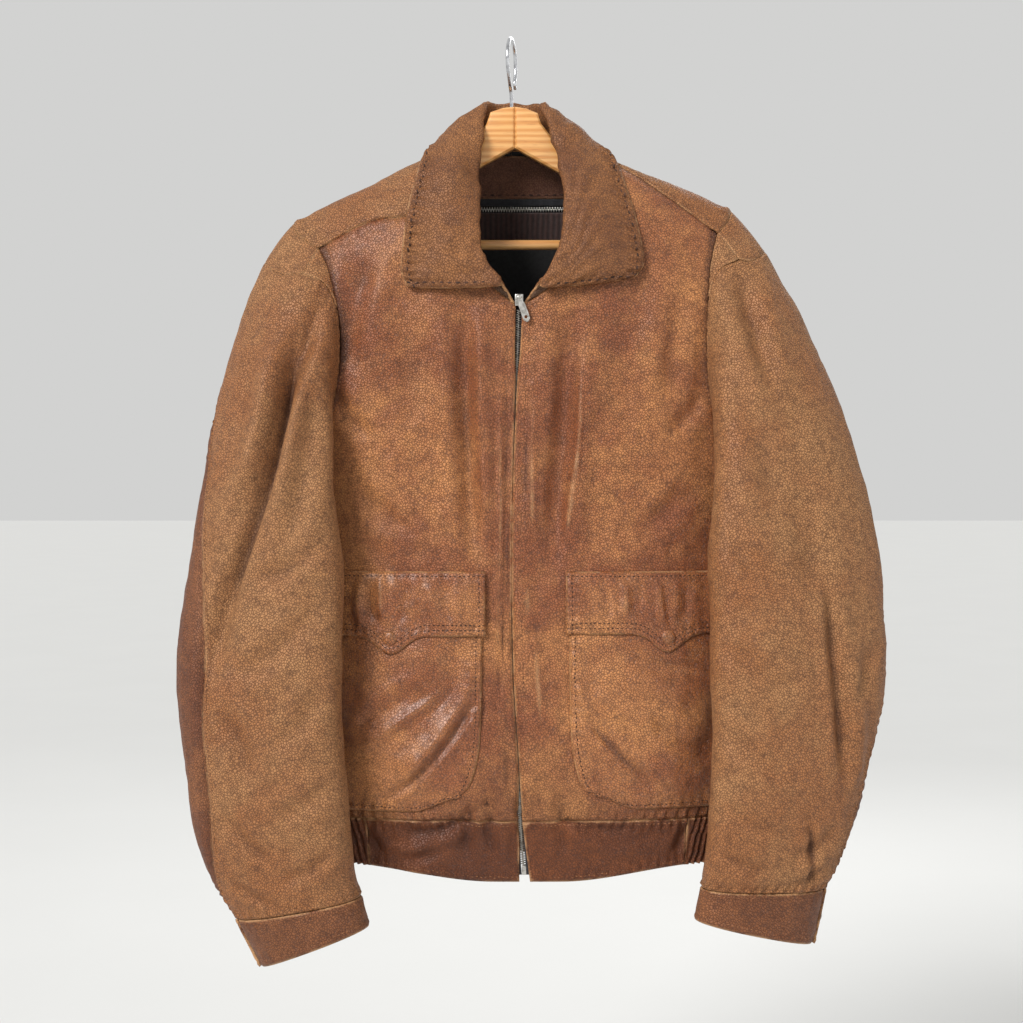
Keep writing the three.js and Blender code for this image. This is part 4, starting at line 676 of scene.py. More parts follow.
def crumple(points, size, seed):
    """Soft unevenness between -1 and 1, with a given size in millimetres."""
    flat = points.reshape(-1, 3) / size + np.array([seed, 0.37 * seed, -seed])
    values = [noise.noise(Vector(p)) for p in flat]
    return np.array(values).reshape(points.shape[:-1])


def wrinkles(points, size, seed):
    """Sharp little ridges, as worn leather has where it has folded many times."""
    return 1 - 2.2 * np.abs(crumple(points, size, seed))


# Half width of the dip at a seam, and wavelengths of the puckers beside it
SEAM_DIP = 1.7
PUCKER, SMALL_PUCKER = 9.5, 5.3


class Panel:
    """A sheet as a grid of points, with its outward normals and the distance to each of its edges."""

    def __init__(self, points, outward):
        self.points = points
        self.measure()
        self.sign = 1 if outward(self) > 0 else -1
        self.normals = self.normals * self.sign
        self.base = points.copy()
        self.raised = np.zeros(points.shape[:2])
        # The relief: creases, puckers and ridges, with painted shade added, which the leather darkens in hollows
        # and rubs paler on ridges
        self.relief = np.zeros(points.shape[:2])

    def measure(self):
        across = np.gradient(self.points, axis=0)
        down = np.gradient(self.points, axis=1)
        self.normals = unit(np.cross(across, down))
        steps = np.linalg.norm(np.diff(self.points, axis=0), axis=-1)
        from_left = np.concatenate([np.zeros((1, steps.shape[1])), np.cumsum(steps, 0)])
        steps = np.linalg.norm(np.diff(self.points, axis=1), axis=-1)
        from_top = np.concatenate([np.zeros((steps.shape[0], 1)), np.cumsum(steps, 1)], 1)
        self.to = {
            "left": from_left, "right": from_left[-1:] - from_left,
            "top": from_top, "bottom": from_top[:, -1:] - from_top,
        }

    def place(self, amount):
        """Moves the whole sheet out from where its form lies."""
        self.raised = self.raised + amount

    def lift(self, amount):
        """Moves parts of the sheet in or out as creases, puckers and rubbed ridges do; the relief this adds also
        darkens hollows in the colour as painted shade and rubs ridges paler.
        """
        self.place(amount)
        self.relief = self.relief + amount

    def settle(self):
        """Moves the points out by what has been lifted, and measures again."""
        self.points = self.base + self.normals * self.raised[..., None]
        sign = self.sign
        self.measure()
        self.normals = self.normals * sign

    def rim(self, edges=("left", "right", "top", "bottom")):
        return np.minimum.reduce([self.to[edge] for edge in edges])

    def sew(self, edges, inset=6.0, pucker=0.45, sink=0.9):
        """A turned seam on each edge: drawn in at the join, fuller beside it and pinched along the stitches."""
        for edge in edges:
            d = self.to[edge]
            run = self.to["left" if edge in ("top", "bottom") else "top"]
            self.lift(-sink * bell(d, SEAM_DIP))
            self.lift(0.55 * bell(d - 0.5 * inset, 2.6) - 0.45 * bell(d - inset, 1.1))
            wave = np.sin(2 * math.pi * run / PUCKER + 2.2 * np.sin(run / 31))
            wave = wave + 0.5 * np.sin(2 * math.pi * run / SMALL_PUCKER)
            self.lift(pucker * wave * bell(d - inset, 6.5) * smooth_step(0, 2.5, d))

    def crease(self, creases, strength=1.0, facing=-1):
        seen = smooth_step(0.02, 0.4, facing * self.normals[..., 1])
        depth, shade = crease_depth(self.base[..., 0], self.base[..., 2], creases)
        self.place(-strength * seen * depth)
        # Painted shade: the creases' troughs are darkened in the colour, their ridges rubbed paler
        self.relief = self.relief - strength * seen * shade

    def soil(self, edge, width, amount=5.0):
        """Paints shade along an edge where the sheet lies against another: a contact shadow in the colour only."""
        self.relief = self.relief - amount * bell(self.to[edge], width)

    def rumple(self, seed, soft=1.0, sharp=0.35):
        calm = smooth_step(0, 14, self.rim())
        self.lift(calm * soft * crumple(self.base, 52, seed) * 2)
        self.lift(calm * sharp * 1.7 * wrinkles(self.base * np.array([1, 1, 0.8]), 21, seed + 3))
        self.lift(0.6 * sharp * wrinkles(self.base, 9.5, seed + 7) * smooth_step(0, 5, self.rim()))

    def line(self, edge, inset, start=0.0):
        """Points and normals of a line that follows one edge at a distance, from a share of its length on."""
        upright = edge in ("top", "bottom")
        distance = self.to[edge] if upright else self.to[edge].T
        points = self.points if upright else self.points.transpose(1, 0, 2)
        normals = self.normals if upright else self.normals.transpose(1, 0, 2)
        if edge in ("bottom", "right"):
            distance, points, normals = distance[:, ::-1], points[:, ::-1], normals[:, ::-1]
        spots, ups = [], []
        for row in range(int(start * (len(points) - 1)), len(points)):
            spots.append([np.interp(inset, distance[row], points[row][:, d]) for d in range(3)])
            ups.append([np.interp(inset, distance[row], normals[row][:, d]) for d in range(3)])
        return np.array(spots), unit(np.array(ups))


def outward_from(centre):
    centre = np.array(centre, float)
    return lambda panel: float(np.sum(panel.normals * (panel.points - centre)))


# Meshes

def new_object(name, mesh, body, materials, nodes=()):
    piece = bpy.data.objects.new(name, mesh)
    bpy.context.scene.collection.objects.link(piece)
    for each in materials:
        mesh.materials.append(each)
    if nodes:
        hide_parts(*nodes)
    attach(piece, body)
    return piece


def mesh_from(name, bm):
    mesh = bpy.data.meshes.new(name)
    bm.to_mesh(mesh)
    bm.free()
    return mesh


def panel_mesh(name, panel):
    columns, rows = panel.points.shape[:2]
    bm = bmesh.new()
    bmesh.ops.create_grid(bm, x_segments=columns - 1, y_segments=rows - 1, size=0.5)
    rim = np.clip(panel.rim() / RIM_REACH, 0, 1)
    # The lift attribute carries the relief, which the leather paints as shade in hollows and as rubbed wear on
    # ridges
    shade = np.clip(panel.relief / RELIEF_REACH, -1, 1)
    rim_layer = bm.verts.layers.float.new("rim")
    lift_layer = bm.verts.layers.float.new("lift")
    for vert in bm.verts:
        i = round((vert.co.x + 0.5) * (columns - 1))
        j = round((vert.co.y + 0.5) * (rows - 1))
        vert[rim_layer] = rim[i, j]
        vert[lift_layer] = shade[i, j]
        vert.co = Vector(panel.points[i, j]) * MM
    if panel.sign < 0:
        bmesh.ops.reverse_faces(bm, faces=bm.faces)
    for face in bm.faces:
        face.smooth = True
    return mesh_from(name, bm)


def add_panel(name, panel, thickness, materials, nodes):
    """A sheet with a wall behind its outer face; the second material is for the inside."""
    piece = new_object(name, panel_mesh(name, panel), "jacket", materials, nodes)
    wall = piece.modifiers.new("wall", "SOLIDIFY")
    wall.thickness = thickness * MM
    wall.offset = -1
    wall.use_rim = True
    wall.material_offset = len(materials) - 1
    return piece


def tiled(name, template, places):
    """One mesh of many copies of a small template, each at a place given as a 3 by 4 array."""
    bm = bmesh.new()
    template(bm)
    bmesh.ops.triangulate(bm, faces=bm.faces)
    bm.verts.ensure_lookup_table()
    bm.verts.index_update()
    corners = np.array([v.co for v in bm.verts])
    faces = np.array([[v.index for v in f.verts] for f in bm.faces])
    bm.free()
    places = np.asarray(places)
    points = np.einsum("nij,vj->nvi", places[:, :, :3], corners) + places[:, None, :, 3]
    count = len(corners)
    all_faces = faces[None] + (np.arange(len(places)) * count)[:, None, None]
    mesh = bpy.data.meshes.new(name)
    mesh.from_pydata((points.reshape(-1, 3) * MM).tolist(), [], all_faces.reshape(-1, 3).tolist())
    mesh.shade_smooth()
    return mesh


def stitch_places(points, ups, pitch, length, width, height, sunk=0.1):
    run = np.concatenate([[0], np.cumsum(np.linalg.norm(np.diff(points, axis=0), axis=1))])
    count = max(int(run[-1] / pitch), 1)
    middle = (np.arange(count) + 0.5) * run[-1] / count

    def at(values, where):
        return np.stack([np.interp(where, run, values[:, d]) for d in range(3)], -1)

    along = unit(at(points, middle + 1) - at(points, middle - 1))
    up = unit(at(ups, middle))
    aside = unit(np.cross(up, along))
    up = np.cross(along, aside)
    spot = at(points, middle) - up * sunk
    return np.stack([along * length / 2, aside * width / 2, up * height / 2, spot], -1)


def at_spots(size, spots):
    """A place for each spot, with a size along X, Y and Z."""
    return np.concatenate([np.repeat(np.diag(size)[None], len(spots), 0), spots[:, :, None]], 2)


def small_bead(bm):
    bmesh.ops.create_icosphere(bm, subdivisions=1, radius=1)


def spun(bm, outline, steps=32):
    """A closed turned shape from an outline of radius and height."""
    verts = [bm.verts.new((r, 0, y)) for r, y in outline]
    edges = [bm.edges.new(pair) for pair in zip(verts[:-1], verts[1:])]
    bmesh.ops.spin(bm, geom=verts + edges, cent=(0, 0, 0), axis=(0, 0, 1), angle=2 * math.pi, steps=steps,
                   use_merge=True)
    bmesh.ops.remove_doubles(bm, verts=bm.verts, dist=1e-4)
    bmesh.ops.recalc_face_normals(bm, faces=bm.faces)


def turned_to(direction, spot):
    """A place that turns +Z to a direction and moves to a spot."""
    turn = Vector((0, 0, 1)).rotation_difference(Vector(direction)).to_matrix()
    return np.concatenate([np.array(turn), np.array(spot, float)[:, None]], 1)


def softened_copy(name, node, bevel, body, material):
    """The same solid with its edges eased."""
    bm = bmesh.new()
    bm.from_mesh(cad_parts[node].data)
    bmesh.ops.remove_doubles(bm, verts=bm.verts, dist=0.00002)
    bmesh.ops.dissolve_limit(bm, angle_limit=0.03, verts=bm.verts, edges=bm.edges)
    sharp = [e for e in bm.edges if len(e.link_faces) == 2 and e.calc_face_angle() > 0.5]
    bmesh.ops.bevel(bm, geom=sharp, offset=bevel * MM, offset_type="OFFSET", affect="EDGES", segments=2,
                    profile=0.5, material=-1, clamp_overlap=True)
    mesh = mesh_from(name, bm)
    mesh.shade_smooth()
    mesh.set_sharp_from_angle(angle=0.7)
    return new_object(name, mesh, body, [material], [node])


# Collar: roll line and outer edge, one point for each step round the neckline from zip to zip

ROLL_LINE = [
    (-9, -76, -239), (-17, -75, -229), (-24, -73, -219), (-28, -69, -210), (-30, -64, -199), (-30, -59, -187),
    (-31, -53, -174), (-31, -45, -158), (-32, -30, -133), (-29, -17, -98), (-26, 4, -61), (-17, 24, -56),
    (0, 30, -55), (17, 26, -56), (28, 14, -58), (32, 0, -64), (37, -12, -84), (44, -22, -110),
    (48, -38, -135), (50, -50, -156), (49, -61, -178), (47, -68, -197), (43, -74, -212), (35, -77, -228),
    (26, -76, -240),
]
COLLAR_EDGE = [
    (-95, -64, -243), (-101, -64, -231), (-102, -62, -220), (-101, -60, -208), (-100, -57, -198), (-99, -54, -187),
    (-97, -50, -174), (-94, -44, -158), (-89, -34, -138), (-85, -14, -116), (-79, 12, -110), (-50, 36, -122),
    (0, 43, -125), (44, 37, -123), (78, 20, -113), (90, 4, -109), (97, -12, -118), (102, -28, -134),
    (108, -40, -152), (113, -48, -168), (117, -54, -184), (120, -59, -198), (122, -62, -212), (121, -64, -224),
    (112, -64, -234),
]
COLLAR_FOLD = 3.2
COLLAR_CLEAR = 4.8


def clear_of_body(p, clearance):
    x, y, z = p[..., 0], p[..., 1], p[..., 2]
    front = y < side_y(z)
    reach = np.where(front, FRONT_DROP, BACK_DROP)
    centre_z = shoulder_line(x) - reach
    share = np.minimum(np.abs((x - centre_x(z)) / half_width(z)), 0.98)
    oval = (1 - share ** SECTION_POWER) ** (1 / SECTION_POWER)
    depth = np.where(front, front_depth(z), back_depth(z)) * oval
    q = (y - side_y(z)) / (depth + clearance)
    w = np.maximum(z - centre_z, 0) / (reach + clearance)
    r = np.hypot(q, w)
    k = 1 / np.maximum(r, 0.2)
    moved_z = np.where(z > centre_z, centre_z + w * k * (reach + clearance), z)
    moved = np.stack([x, side_y(z) + q * k * (depth + clearance), moved_z], -1)
    return np.where((r >= 1)[..., None], p, moved)


def collar_grid():
    cells = join(
        cells_of(-1, RIGHT["seams"]["neck"][::-1]), RIGHT["yoke_neck"],
        LEFT["yoke_neck"][::-1], cells_of(-1, LEFT["seams"]["neck"]),
    )
    seat = rolled(cells)
    roll, edge = smooth_curve(ROLL_LINE, FINE), smooth_curve(COLLAR_EDGE, FINE)
    middle = unit(unit(seat - roll) + unit(edge - roll))
    away = body_normal(cells)
    z = seat[:, 2]
    inside = np.stack([centre_x(z), side_y(z), z - 40], -1)
    away = away * np.where(np.sum(away * (seat - inside), -1, keepdims=True) < 0, -1, 1)
    apart = unit(away - middle * np.sum(away * middle, -1, keepdims=True))
    room = np.clip(np.linalg.norm(seat - roll, axis=-1, keepdims=True) / 10, 0.6, 1) * COLLAR_FOLD
    fold = roll + middle * room
    inner, outer = fold - apart * room, fold + apart * room
    ends = np.abs(np.linspace(-1, 1, len(seat)))[:, None]
    crown = lerp(7, 3, ends ** 3)

    def fall(t):
        fallen = lerp(outer, edge, t) + apart * crown * 4 * t * (1 - t) * (1 - t * 0.4)
        return clear_of_body(fallen, COLLAR_CLEAR)

    stand = [seat, lerp(seat, inner, 0.5) - apart, inner, roll, outer]
    rows = np.stack([*stand, fall(0.3), fall(0.62), fall(1.0)], 1)
    return np.stack([evenly(smooth_curve(row, 10), 44) for row in rows])


# Patch pockets, flaps, cuffs and band

LEATHER, FOLDED_LEATHER, LAY = 2.0, 2.6, 0.6
POCKET_LIFT = LEATHER + LAY
FLAP_LIFT = POCKET_LIFT + LEATHER / 2 + LAY + FOLDED_LEATHER / 2
FLAP_SEAT = LEATHER / 2 + LAY + FOLDED_LEATHER / 2


def pocket_rise(pocket, x, z):
    u = np.clip((x - pocket["outer"]) / (pocket["inner"] - pocket["outer"]), 0, 1)
    v = np.clip((pocket["top"] - z) / (pocket["top"] - pocket["low"]), 0, 1)
    return 4 * np.sin(math.pi * u) * np.sin(math.pi * v)


def pocket_flat(p):
    s = 1 if p["outer"] > p["inner"] else -1
    x = np.linspace(p["outer"], p["inner"], 61)
    corner_x = p["inner"] + s * 22
    inner_round = 14 * smooth_step(50, 0, np.abs(x - p["inner"]))
    outer_round = 4 * smooth_step(14, 0, np.abs(x - p["outer"]))
    low_z = p["low"] + inner_round + outer_round
    low = np.stack([np.linspace(p["outer"], corner_x, len(x)), low_z], -1)
    outer_z = np.linspace(p["top"], low_z[0], 71)
    outer = np.stack([np.full(len(outer_z), p["outer"]), outer_z], -1)
    inner = evenly(smooth_curve([
        (p["inner"], p["top"]), (p["inner"], -560), (p["inner"] + 0.5 * s, -620), (p["inner"] + 2 * s, -662),
        (p["inner"] + 6 * s, -685), (p["inner"] + 12 * s, -702), tuple(low[-1]),
    ]), 70)
    top = np.stack([x, np.full(len(x), p["top"])], -1)
    return fill_grid(top, low, outer, inner)


def flap_flat(p):
    s = 1 if p["outer"] > p["inner"] else -1
    x = np.linspace(p["outer"] + s * 2, p["inner"] - s * 3, 67)
    bottom = p["flap_low"] - 17 * bell(x - p["point_x"], 17)
    share = np.linspace(0, 1, 27)
    z = lerp(p["flap_top"], bottom[:, None], share[None])
    return np.stack([np.repeat(x[:, None], len(share), 1), z], -1)


def cuff_grid(h):
    t = np.linspace(0, 1, 121)[:, None]
    f = np.linspace(0.012, 1, 18)[None]
    angle = lerp(-0.12, 2 * math.pi + 0.18, t) + 0 * f
    lift = 3.4 * smooth_step(0.86, 0.96, t) + 0 * f
    wrist, end = (np.array(station, float) for station in (h["stations"][-1], h["cuff_end"]))
    row = lerp(wrist, end, f[..., None]) + 0 * angle[..., None]
    outer, inner = row[..., :3], row[..., 3:6]
    reach = unit(outer - inner) * lift[..., None]
    return ring_point(outer + reach, inner - reach, row[..., 6] + lift, angle)


def hem_z(side, x):
    away = np.abs(x - 12)
    front = HEM_Z + 14 * smooth_step(30, 170, away)
    return np.where(side < 0, front, -792 + 11 * smooth_step(60, 190, away))


def band_point(turn, f, slide=0.0):
    front = np.abs(turn) <= math.pi / 2
    side = np.where(front, -1, 1)
    angle = np.where(front, turn, np.sign(turn) * math.pi - turn)
    z = lerp(WAIST_Z, hem_z(side, x_of(angle, WAIST_Z)), f)
    return body_point(side, x_of(angle, z) + slide, z)


def band_turns(h):
    return (
        float(angle_of(h["edge_x"](WAIST_Z), WAIST_Z)),
        float(angle_of(h["band_end"], WAIST_Z)),
        h["hand"] * math.pi - float(angle_of(h["band_back_end"], WAIST_Z)),
    )


def band_grid(from_turn, to_turn, columns, flare=0.0):
    share = np.linspace(0, 1, columns + 1)[:, None]
    f = np.linspace(0, 1, BAND_ROWS)[None]
    return band_point(lerp(from_turn, to_turn, share) + 0 * f, f + 0 * share, share ** 2 * flare * f)


def zip_x(z):
    flare = np.clip((WAIST_Z - z) / (WAIST_Z - HEM_Z), 0, 1)
    edges = [h["edge_x"](np.maximum(z, WAIST_Z)) + h["band_flare"] * flare for h in HANDS]
    return (edges[0] + edges[1]) / 2


# Materials

def srgb(r, g, b):
    """A colour given by its screen values, as a linear colour with alpha."""
    linear = (c / 255 / 12.92 if c <= 10 else ((c / 255 + 0.055) / 1.055) ** 2.4 for c in (r, g, b))
    return tuple(linear) + (1.0,)


class Nodes:
    """A node tree with short ways to add nodes and join sockets."""

    def __init__(self, tree):
        self.tree = tree

    def feed(self, node, inputs):
        """Links or sets a node's inputs, by name or number."""
        for socket, value in dict(inputs).items():
            if isinstance(value, bpy.types.NodeSocket):
                self.tree.links.new(value, node.inputs[socket])
            else:
                node.inputs[socket].default_value = value

    def add(self, kind, inputs=(), **settings):
        node = self.tree.nodes.new(kind)
        for key, value in settings.items():
            setattr(node, key, value)
        self.feed(node, inputs)
        return node

    def noise(self, vector, scale, detail=4.0, rough=0.55):
        settings = {"Vector": vector, "Scale": scale, "Detail": detail, "Roughness": rough}
        return self.add("ShaderNodeTexNoise", settings).outputs["Fac"]

    def remap(self, value, low, high, to_low=0.0, to_high=1.0):
        settings = {"Value": value, "From Min": low, "From Max": high, "To Min": to_low, "To Max": to_high}
        return self.add("ShaderNodeMapRange", settings, interpolation_type="SMOOTHSTEP").outputs["Result"]

    def maths(self, operation, a, b=0.0, clamp=False):
        return self.add("ShaderNodeMath", {0: a, 1: b}, operation=operation, use_clamp=clamp).outputs["Value"]

    def mixed(self, factor, a, b):
        """A mix of two colours; the mix node keeps its colour sockets after those for numbers."""
        return self.add("ShaderNodeMix", {0: factor, 6: a, 7: b}, data_type="RGBA").outputs[2]


def node_group(name, outputs, fill):
    """A shared effect as a node group; fill gets the nodes and the inputs and returns the masks by name."""
    tree = bpy.data.node_groups.new(name, "ShaderNodeTree")
    tree.interface.new_socket("Vector", in_out="INPUT", socket_type="NodeSocketVector")
    for socket in outputs:
        tree.interface.new_socket(socket, in_out="OUTPUT", socket_type="NodeSocketFloat")
    nodes = Nodes(tree)
    enter = nodes.add("NodeGroupInput")
    leave = nodes.add("NodeGroupOutput")
    nodes.feed(leave, fill(nodes, enter.outputs))
    return tree


# Scales of the textures, in cells or waves for each metre
PEBBLES = 440.0
THREADS = 520.0


def grain_effect(n, i):
    """Pebbled grain with fine pores between the pebbles."""
    warp = n.noise(i["Vector"], 210.0, 2.0)
    shift = {0: warp, 1: (1.8 * MM,) * 3, 2: i["Vector"]}
    bent = n.add("ShaderNodeVectorMath", shift, operation="MULTIPLY_ADD").outputs["Vector"]
    cells = {"Vector": bent, "Scale": PEBBLES}
    distance = n.add("ShaderNodeTexVoronoi", cells, feature="DISTANCE_TO_EDGE").outputs["Distance"]
    pebble = n.remap(distance, 0.0, 0.16)
    soft = n.noise(i["Vector"], 1500.0, 3.0)
    height = n.maths("ADD", n.maths("MULTIPLY", pebble, 0.8), n.maths("MULTIPLY", soft, 0.3))
    return {"Height": height, "Pores": n.maths("SUBTRACT", 1.0, pebble, clamp=True)}


def mottle_effect(n, i):
    """Uneven colour of old leather: broad patches, blotches and small spots."""
    broad = n.remap(n.noise(i["Vector"], 7.5, 3.0, 0.5), 0.36, 0.64)
    blotch = n.remap(n.noise(i["Vector"], 34.0, 6.0, 0.66), 0.40, 0.66)
    spots = n.remap(n.noise(i["Vector"], 120.0, 8.0, 0.78), 0.44, 0.66)
    return {"Broad": broad, "Blotch": blotch, "Spots": spots}


def wear_effect(n, i):
    """Rubbed edges and ridges, and painted shade in the hollows, from what the cloth carries at each point."""
    rim = n.add("ShaderNodeAttribute", attribute_name="rim").outputs["Fac"]
    lift = n.add("ShaderNodeAttribute", attribute_name="lift").outputs["Fac"]
    rough = n.noise(i["Vector"], 60.0, 5.0, 0.62)
    near = n.remap(rim, 0.13, 0.0)
    rubbed = n.maths("MULTIPLY", near, n.remap(rough, 0.36, 0.6))
    ridge = n.maths("MULTIPLY", n.remap(lift, 0.38, 1.0, 0.0, 0.7), n.remap(rough, 0.3, 0.6))
    # Painted shade in creases, folds and where sheets meet, from a negative lift
    hollow_shade = n.remap(lift, -0.1, -1.0)
    kept = n.maths("SUBTRACT", 1.0, hollow_shade, clamp=True)
    return {"Rubbed": n.maths("MULTIPLY", n.maths("MAXIMUM", rubbed, ridge), kept), "Hollow": hollow_shade}


def weave_effect(n, i):
    """A plain weave as height."""
    waves = {"Vector": i["Vector"], "Scale": THREADS, "Distortion": 0.4}
    warp, weft = (n.add("ShaderNodeTexWave", waves, bands_direction=way).outputs["Fac"] for way in "XZ")
    return {"Height": n.maths("MAXIMUM", warp, weft)}


EFFECTS = {}


def make_effects():
    for key, name, outputs, fill in (
        ("grain", "Pebbled grain", ("Height", "Pores"), grain_effect),
        ("mottle", "Old colour", ("Broad", "Blotch", "Spots"), mottle_effect),
        ("wear_and_shade", "Rubbing and painted shade", ("Rubbed", "Hollow"), wear_effect),
        ("weave", "Plain weave", ("Height",), weave_effect),
    ):
        EFFECTS[key] = node_group(name, outputs, fill)


def start_material(name):
    material = bpy.data.materials.new(name)
    material.use_nodes = True
    n = Nodes(material.node_tree)
    shader = material.node_tree.nodes["Principled BSDF"]
    vector = n.add("ShaderNodeTexCoord").outputs["Object"]
    return material, n, shader, vector


def effect(n, name, vector):
    return n.add("ShaderNodeGroup", {"Vector": vector}, node_tree=EFFECTS[name]).outputs


def bumped(n, shader, height, distance, strength=1.0, under=None):
    """A bump of a height in metres on the shader, over another bump where one is given."""
    inputs = {"Height": height, "Distance": distance, "Strength": strength}
    if under is not None:
        inputs["Normal"] = under
    normal = n.add("ShaderNodeBump", inputs).outputs["Normal"]
    n.feed(shader, {"Normal": normal})
    return normal


# How strongly each mask pulls the leather's colour to the dark one, the hollow mask as painted shade, and how wide
# its two colours blend
SPOT_DARK, PORE_DARK, PAINTED_SHADE_DARK = 0.42, 0.62, 0.78
COLOUR_SPREAD = 0.72


def leather(name, tan, red, roughness=0.5, reddish=0.5, rub=0.7, coat=0.0, low_dark=0.0):
    """Worn leather: tan where it is dry, reddish brown where the finish is left, pale where it is rubbed, with
    painted shade in its creases, folds and contacts.
    """
    look = bpy.context.scene.jacket_look
    pale, dark = tuple(look.pale), tuple(look.dark)
    material, n, shader, vector = start_material(name)
    mottle, wear_and_shade, grain = (effect(n, key, vector) for key in ("mottle", "wear_and_shade", "grain"))
    broad, blotch = n.maths("MULTIPLY", mottle["Broad"], 0.62), n.maths("MULTIPLY", mottle["Blotch"], 0.38)
    mix = n.maths("ADD", broad, blotch)
    colour = n.mixed(n.remap(mix, reddish - COLOUR_SPREAD, reddish + COLOUR_SPREAD), red, tan)
    if low_dark:
        height = n.add("ShaderNodeSeparateXYZ", {"Vector": vector}).outputs["Z"]
        colour = n.mixed(n.maths("MULTIPLY", n.remap(height, -0.60, -0.79), low_dark), colour, dark)
    # Spots and pores are the leather's own dark; the hollow mask paints shade; the rubbed mask is pale wear
    for mask, share, shade in (
        (mottle["Spots"], SPOT_DARK, dark), (grain["Pores"], PORE_DARK, dark),
        (wear_and_shade["Hollow"], PAINTED_SHADE_DARK, dark), (wear_and_shade["Rubbed"], rub, pale),
    ):
        colour = n.mixed(n.maths("MULTIPLY", mask, share), colour, shade)
    dry = n.remap(mix, 0.2, 0.8, roughness - 0.07, roughness + 0.09)
    n.feed(shader, {
        "Base Color": colour,
        "Roughness": n.maths("ADD", dry, n.maths("MULTIPLY", grain["Pores"], 0.1)),
        "Specular IOR Level": 0.42,
        "Coat Weight": coat,
        "Coat Roughness": 0.3,
    })
    soft = bumped(n, shader, n.noise(vector, 70.0, 8.0, 0.66), distance=0.0016, strength=0.6)
    bumped(n, shader, grain["Height"], distance=0.0006, under=soft)
    return material


def cloth(name, light, dark, ribs=0.0):
    """Woven cloth, ribbed across its width where it is a pile strip; ribs is their scale."""
    material, n, shader, vector = start_material(name)
    height = effect(n, "weave", vector)["Height"]
    if ribs:
        waves = {"Vector": vector, "Scale": ribs, "Distortion": 1.5, "Detail": 2.0}
        ridges = n.add("ShaderNodeTexWave", waves, bands_direction="X").outputs["Fac"]
        height = n.maths("ADD", n.maths("MULTIPLY", height, 0.3), ridges)
    uneven = n.maths("MULTIPLY", n.noise(vector, 60.0, 5.0), 0.5)
    n.feed(shader, {
        "Base Color": n.mixed(n.maths("ADD", n.maths("MULTIPLY", height, 0.5), uneven), dark, light),
        "Roughness": n.remap(n.noise(vector, 300.0), 0.2, 0.8, 0.72, 0.95),
        "Sheen Weight": 0.25,
        "Sheen Roughness": 0.5,
    })
    bumped(n, shader, height, distance=0.0007 if ribs else 0.0003, strength=0.9)
    return material


def metal(name, light, dark, roughness):
    """Plated metal with fine scratches and dull patches."""
    material, n, shader, vector = start_material(name)
    scratch = n.noise(stretched(n, vector, (2600.0, 2600.0, 320.0)), 1.0, 4.0, 0.7)
    patch = n.remap(n.noise(vector, 260.0, 4.0), 0.4, 0.7)
    n.feed(shader, {
        "Base Color": n.mixed(patch, light, dark),
        "Roughness": n.remap(scratch, 0.3, 0.75, roughness - 0.08, roughness + 0.12),
        "Metallic": 1.0,
    })
    bumped(n, shader, scratch, distance=0.00003, strength=0.5)
    return material


def stretched(n, vector, scale):
    return n.add("ShaderNodeMapping", {"Vector": vector, "Scale": scale}).outputs["Vector"]


def timber(name, pale, warm, dark):
    """Varnished wood whose grain runs along X."""
    material, n, shader, vector = start_material(name)
    waves = {"Vector": stretched(n, vector, (6.0, 90.0, 90.0)), "Scale": 0.55, "Distortion": 5.0, "Detail": 3.0}
    rings = n.add("ShaderNodeTexWave", waves, bands_direction="Z").outputs["Fac"]
    fibre = n.noise(stretched(n, vector, (60.0, 900.0, 900.0)), 1.0, 5.0)
    n.feed(shader, {
        "Base Color": n.mixed(n.remap(fibre, 0.5, 0.8, 0.0, 0.55), n.mixed(rings, pale, warm), dark),
        "Roughness": n.remap(fibre, 0.3, 0.8, 0.28, 0.42),
        "Coat Weight": 0.35,
        "Coat Roughness": 0.2,
    })
    bumped(n, shader, fibre, distance=0.00012, strength=0.5)
    return material


def thread(name, light, dark):
    """Twisted sewing thread, soiled in places."""
    material, n, shader, vector = start_material(name)
    waves = {"Vector": vector, "Scale": 900.0, "Distortion": 1.0}
    twist = n.add("ShaderNodeTexWave", waves, bands_direction="DIAGONAL").outputs["Fac"]
    soil = n.remap(n.noise(vector, 45.0, 4.0), 0.35, 0.65)
    n.feed(shader, {"Base Color": n.mixed(soil, light, dark), "Roughness": n.remap(soil, 0.0, 1.0, 0.6, 0.8)})
    bumped(n, shader, twist, distance=0.00008, strength=0.7)
    return material


MATERIALS = {}


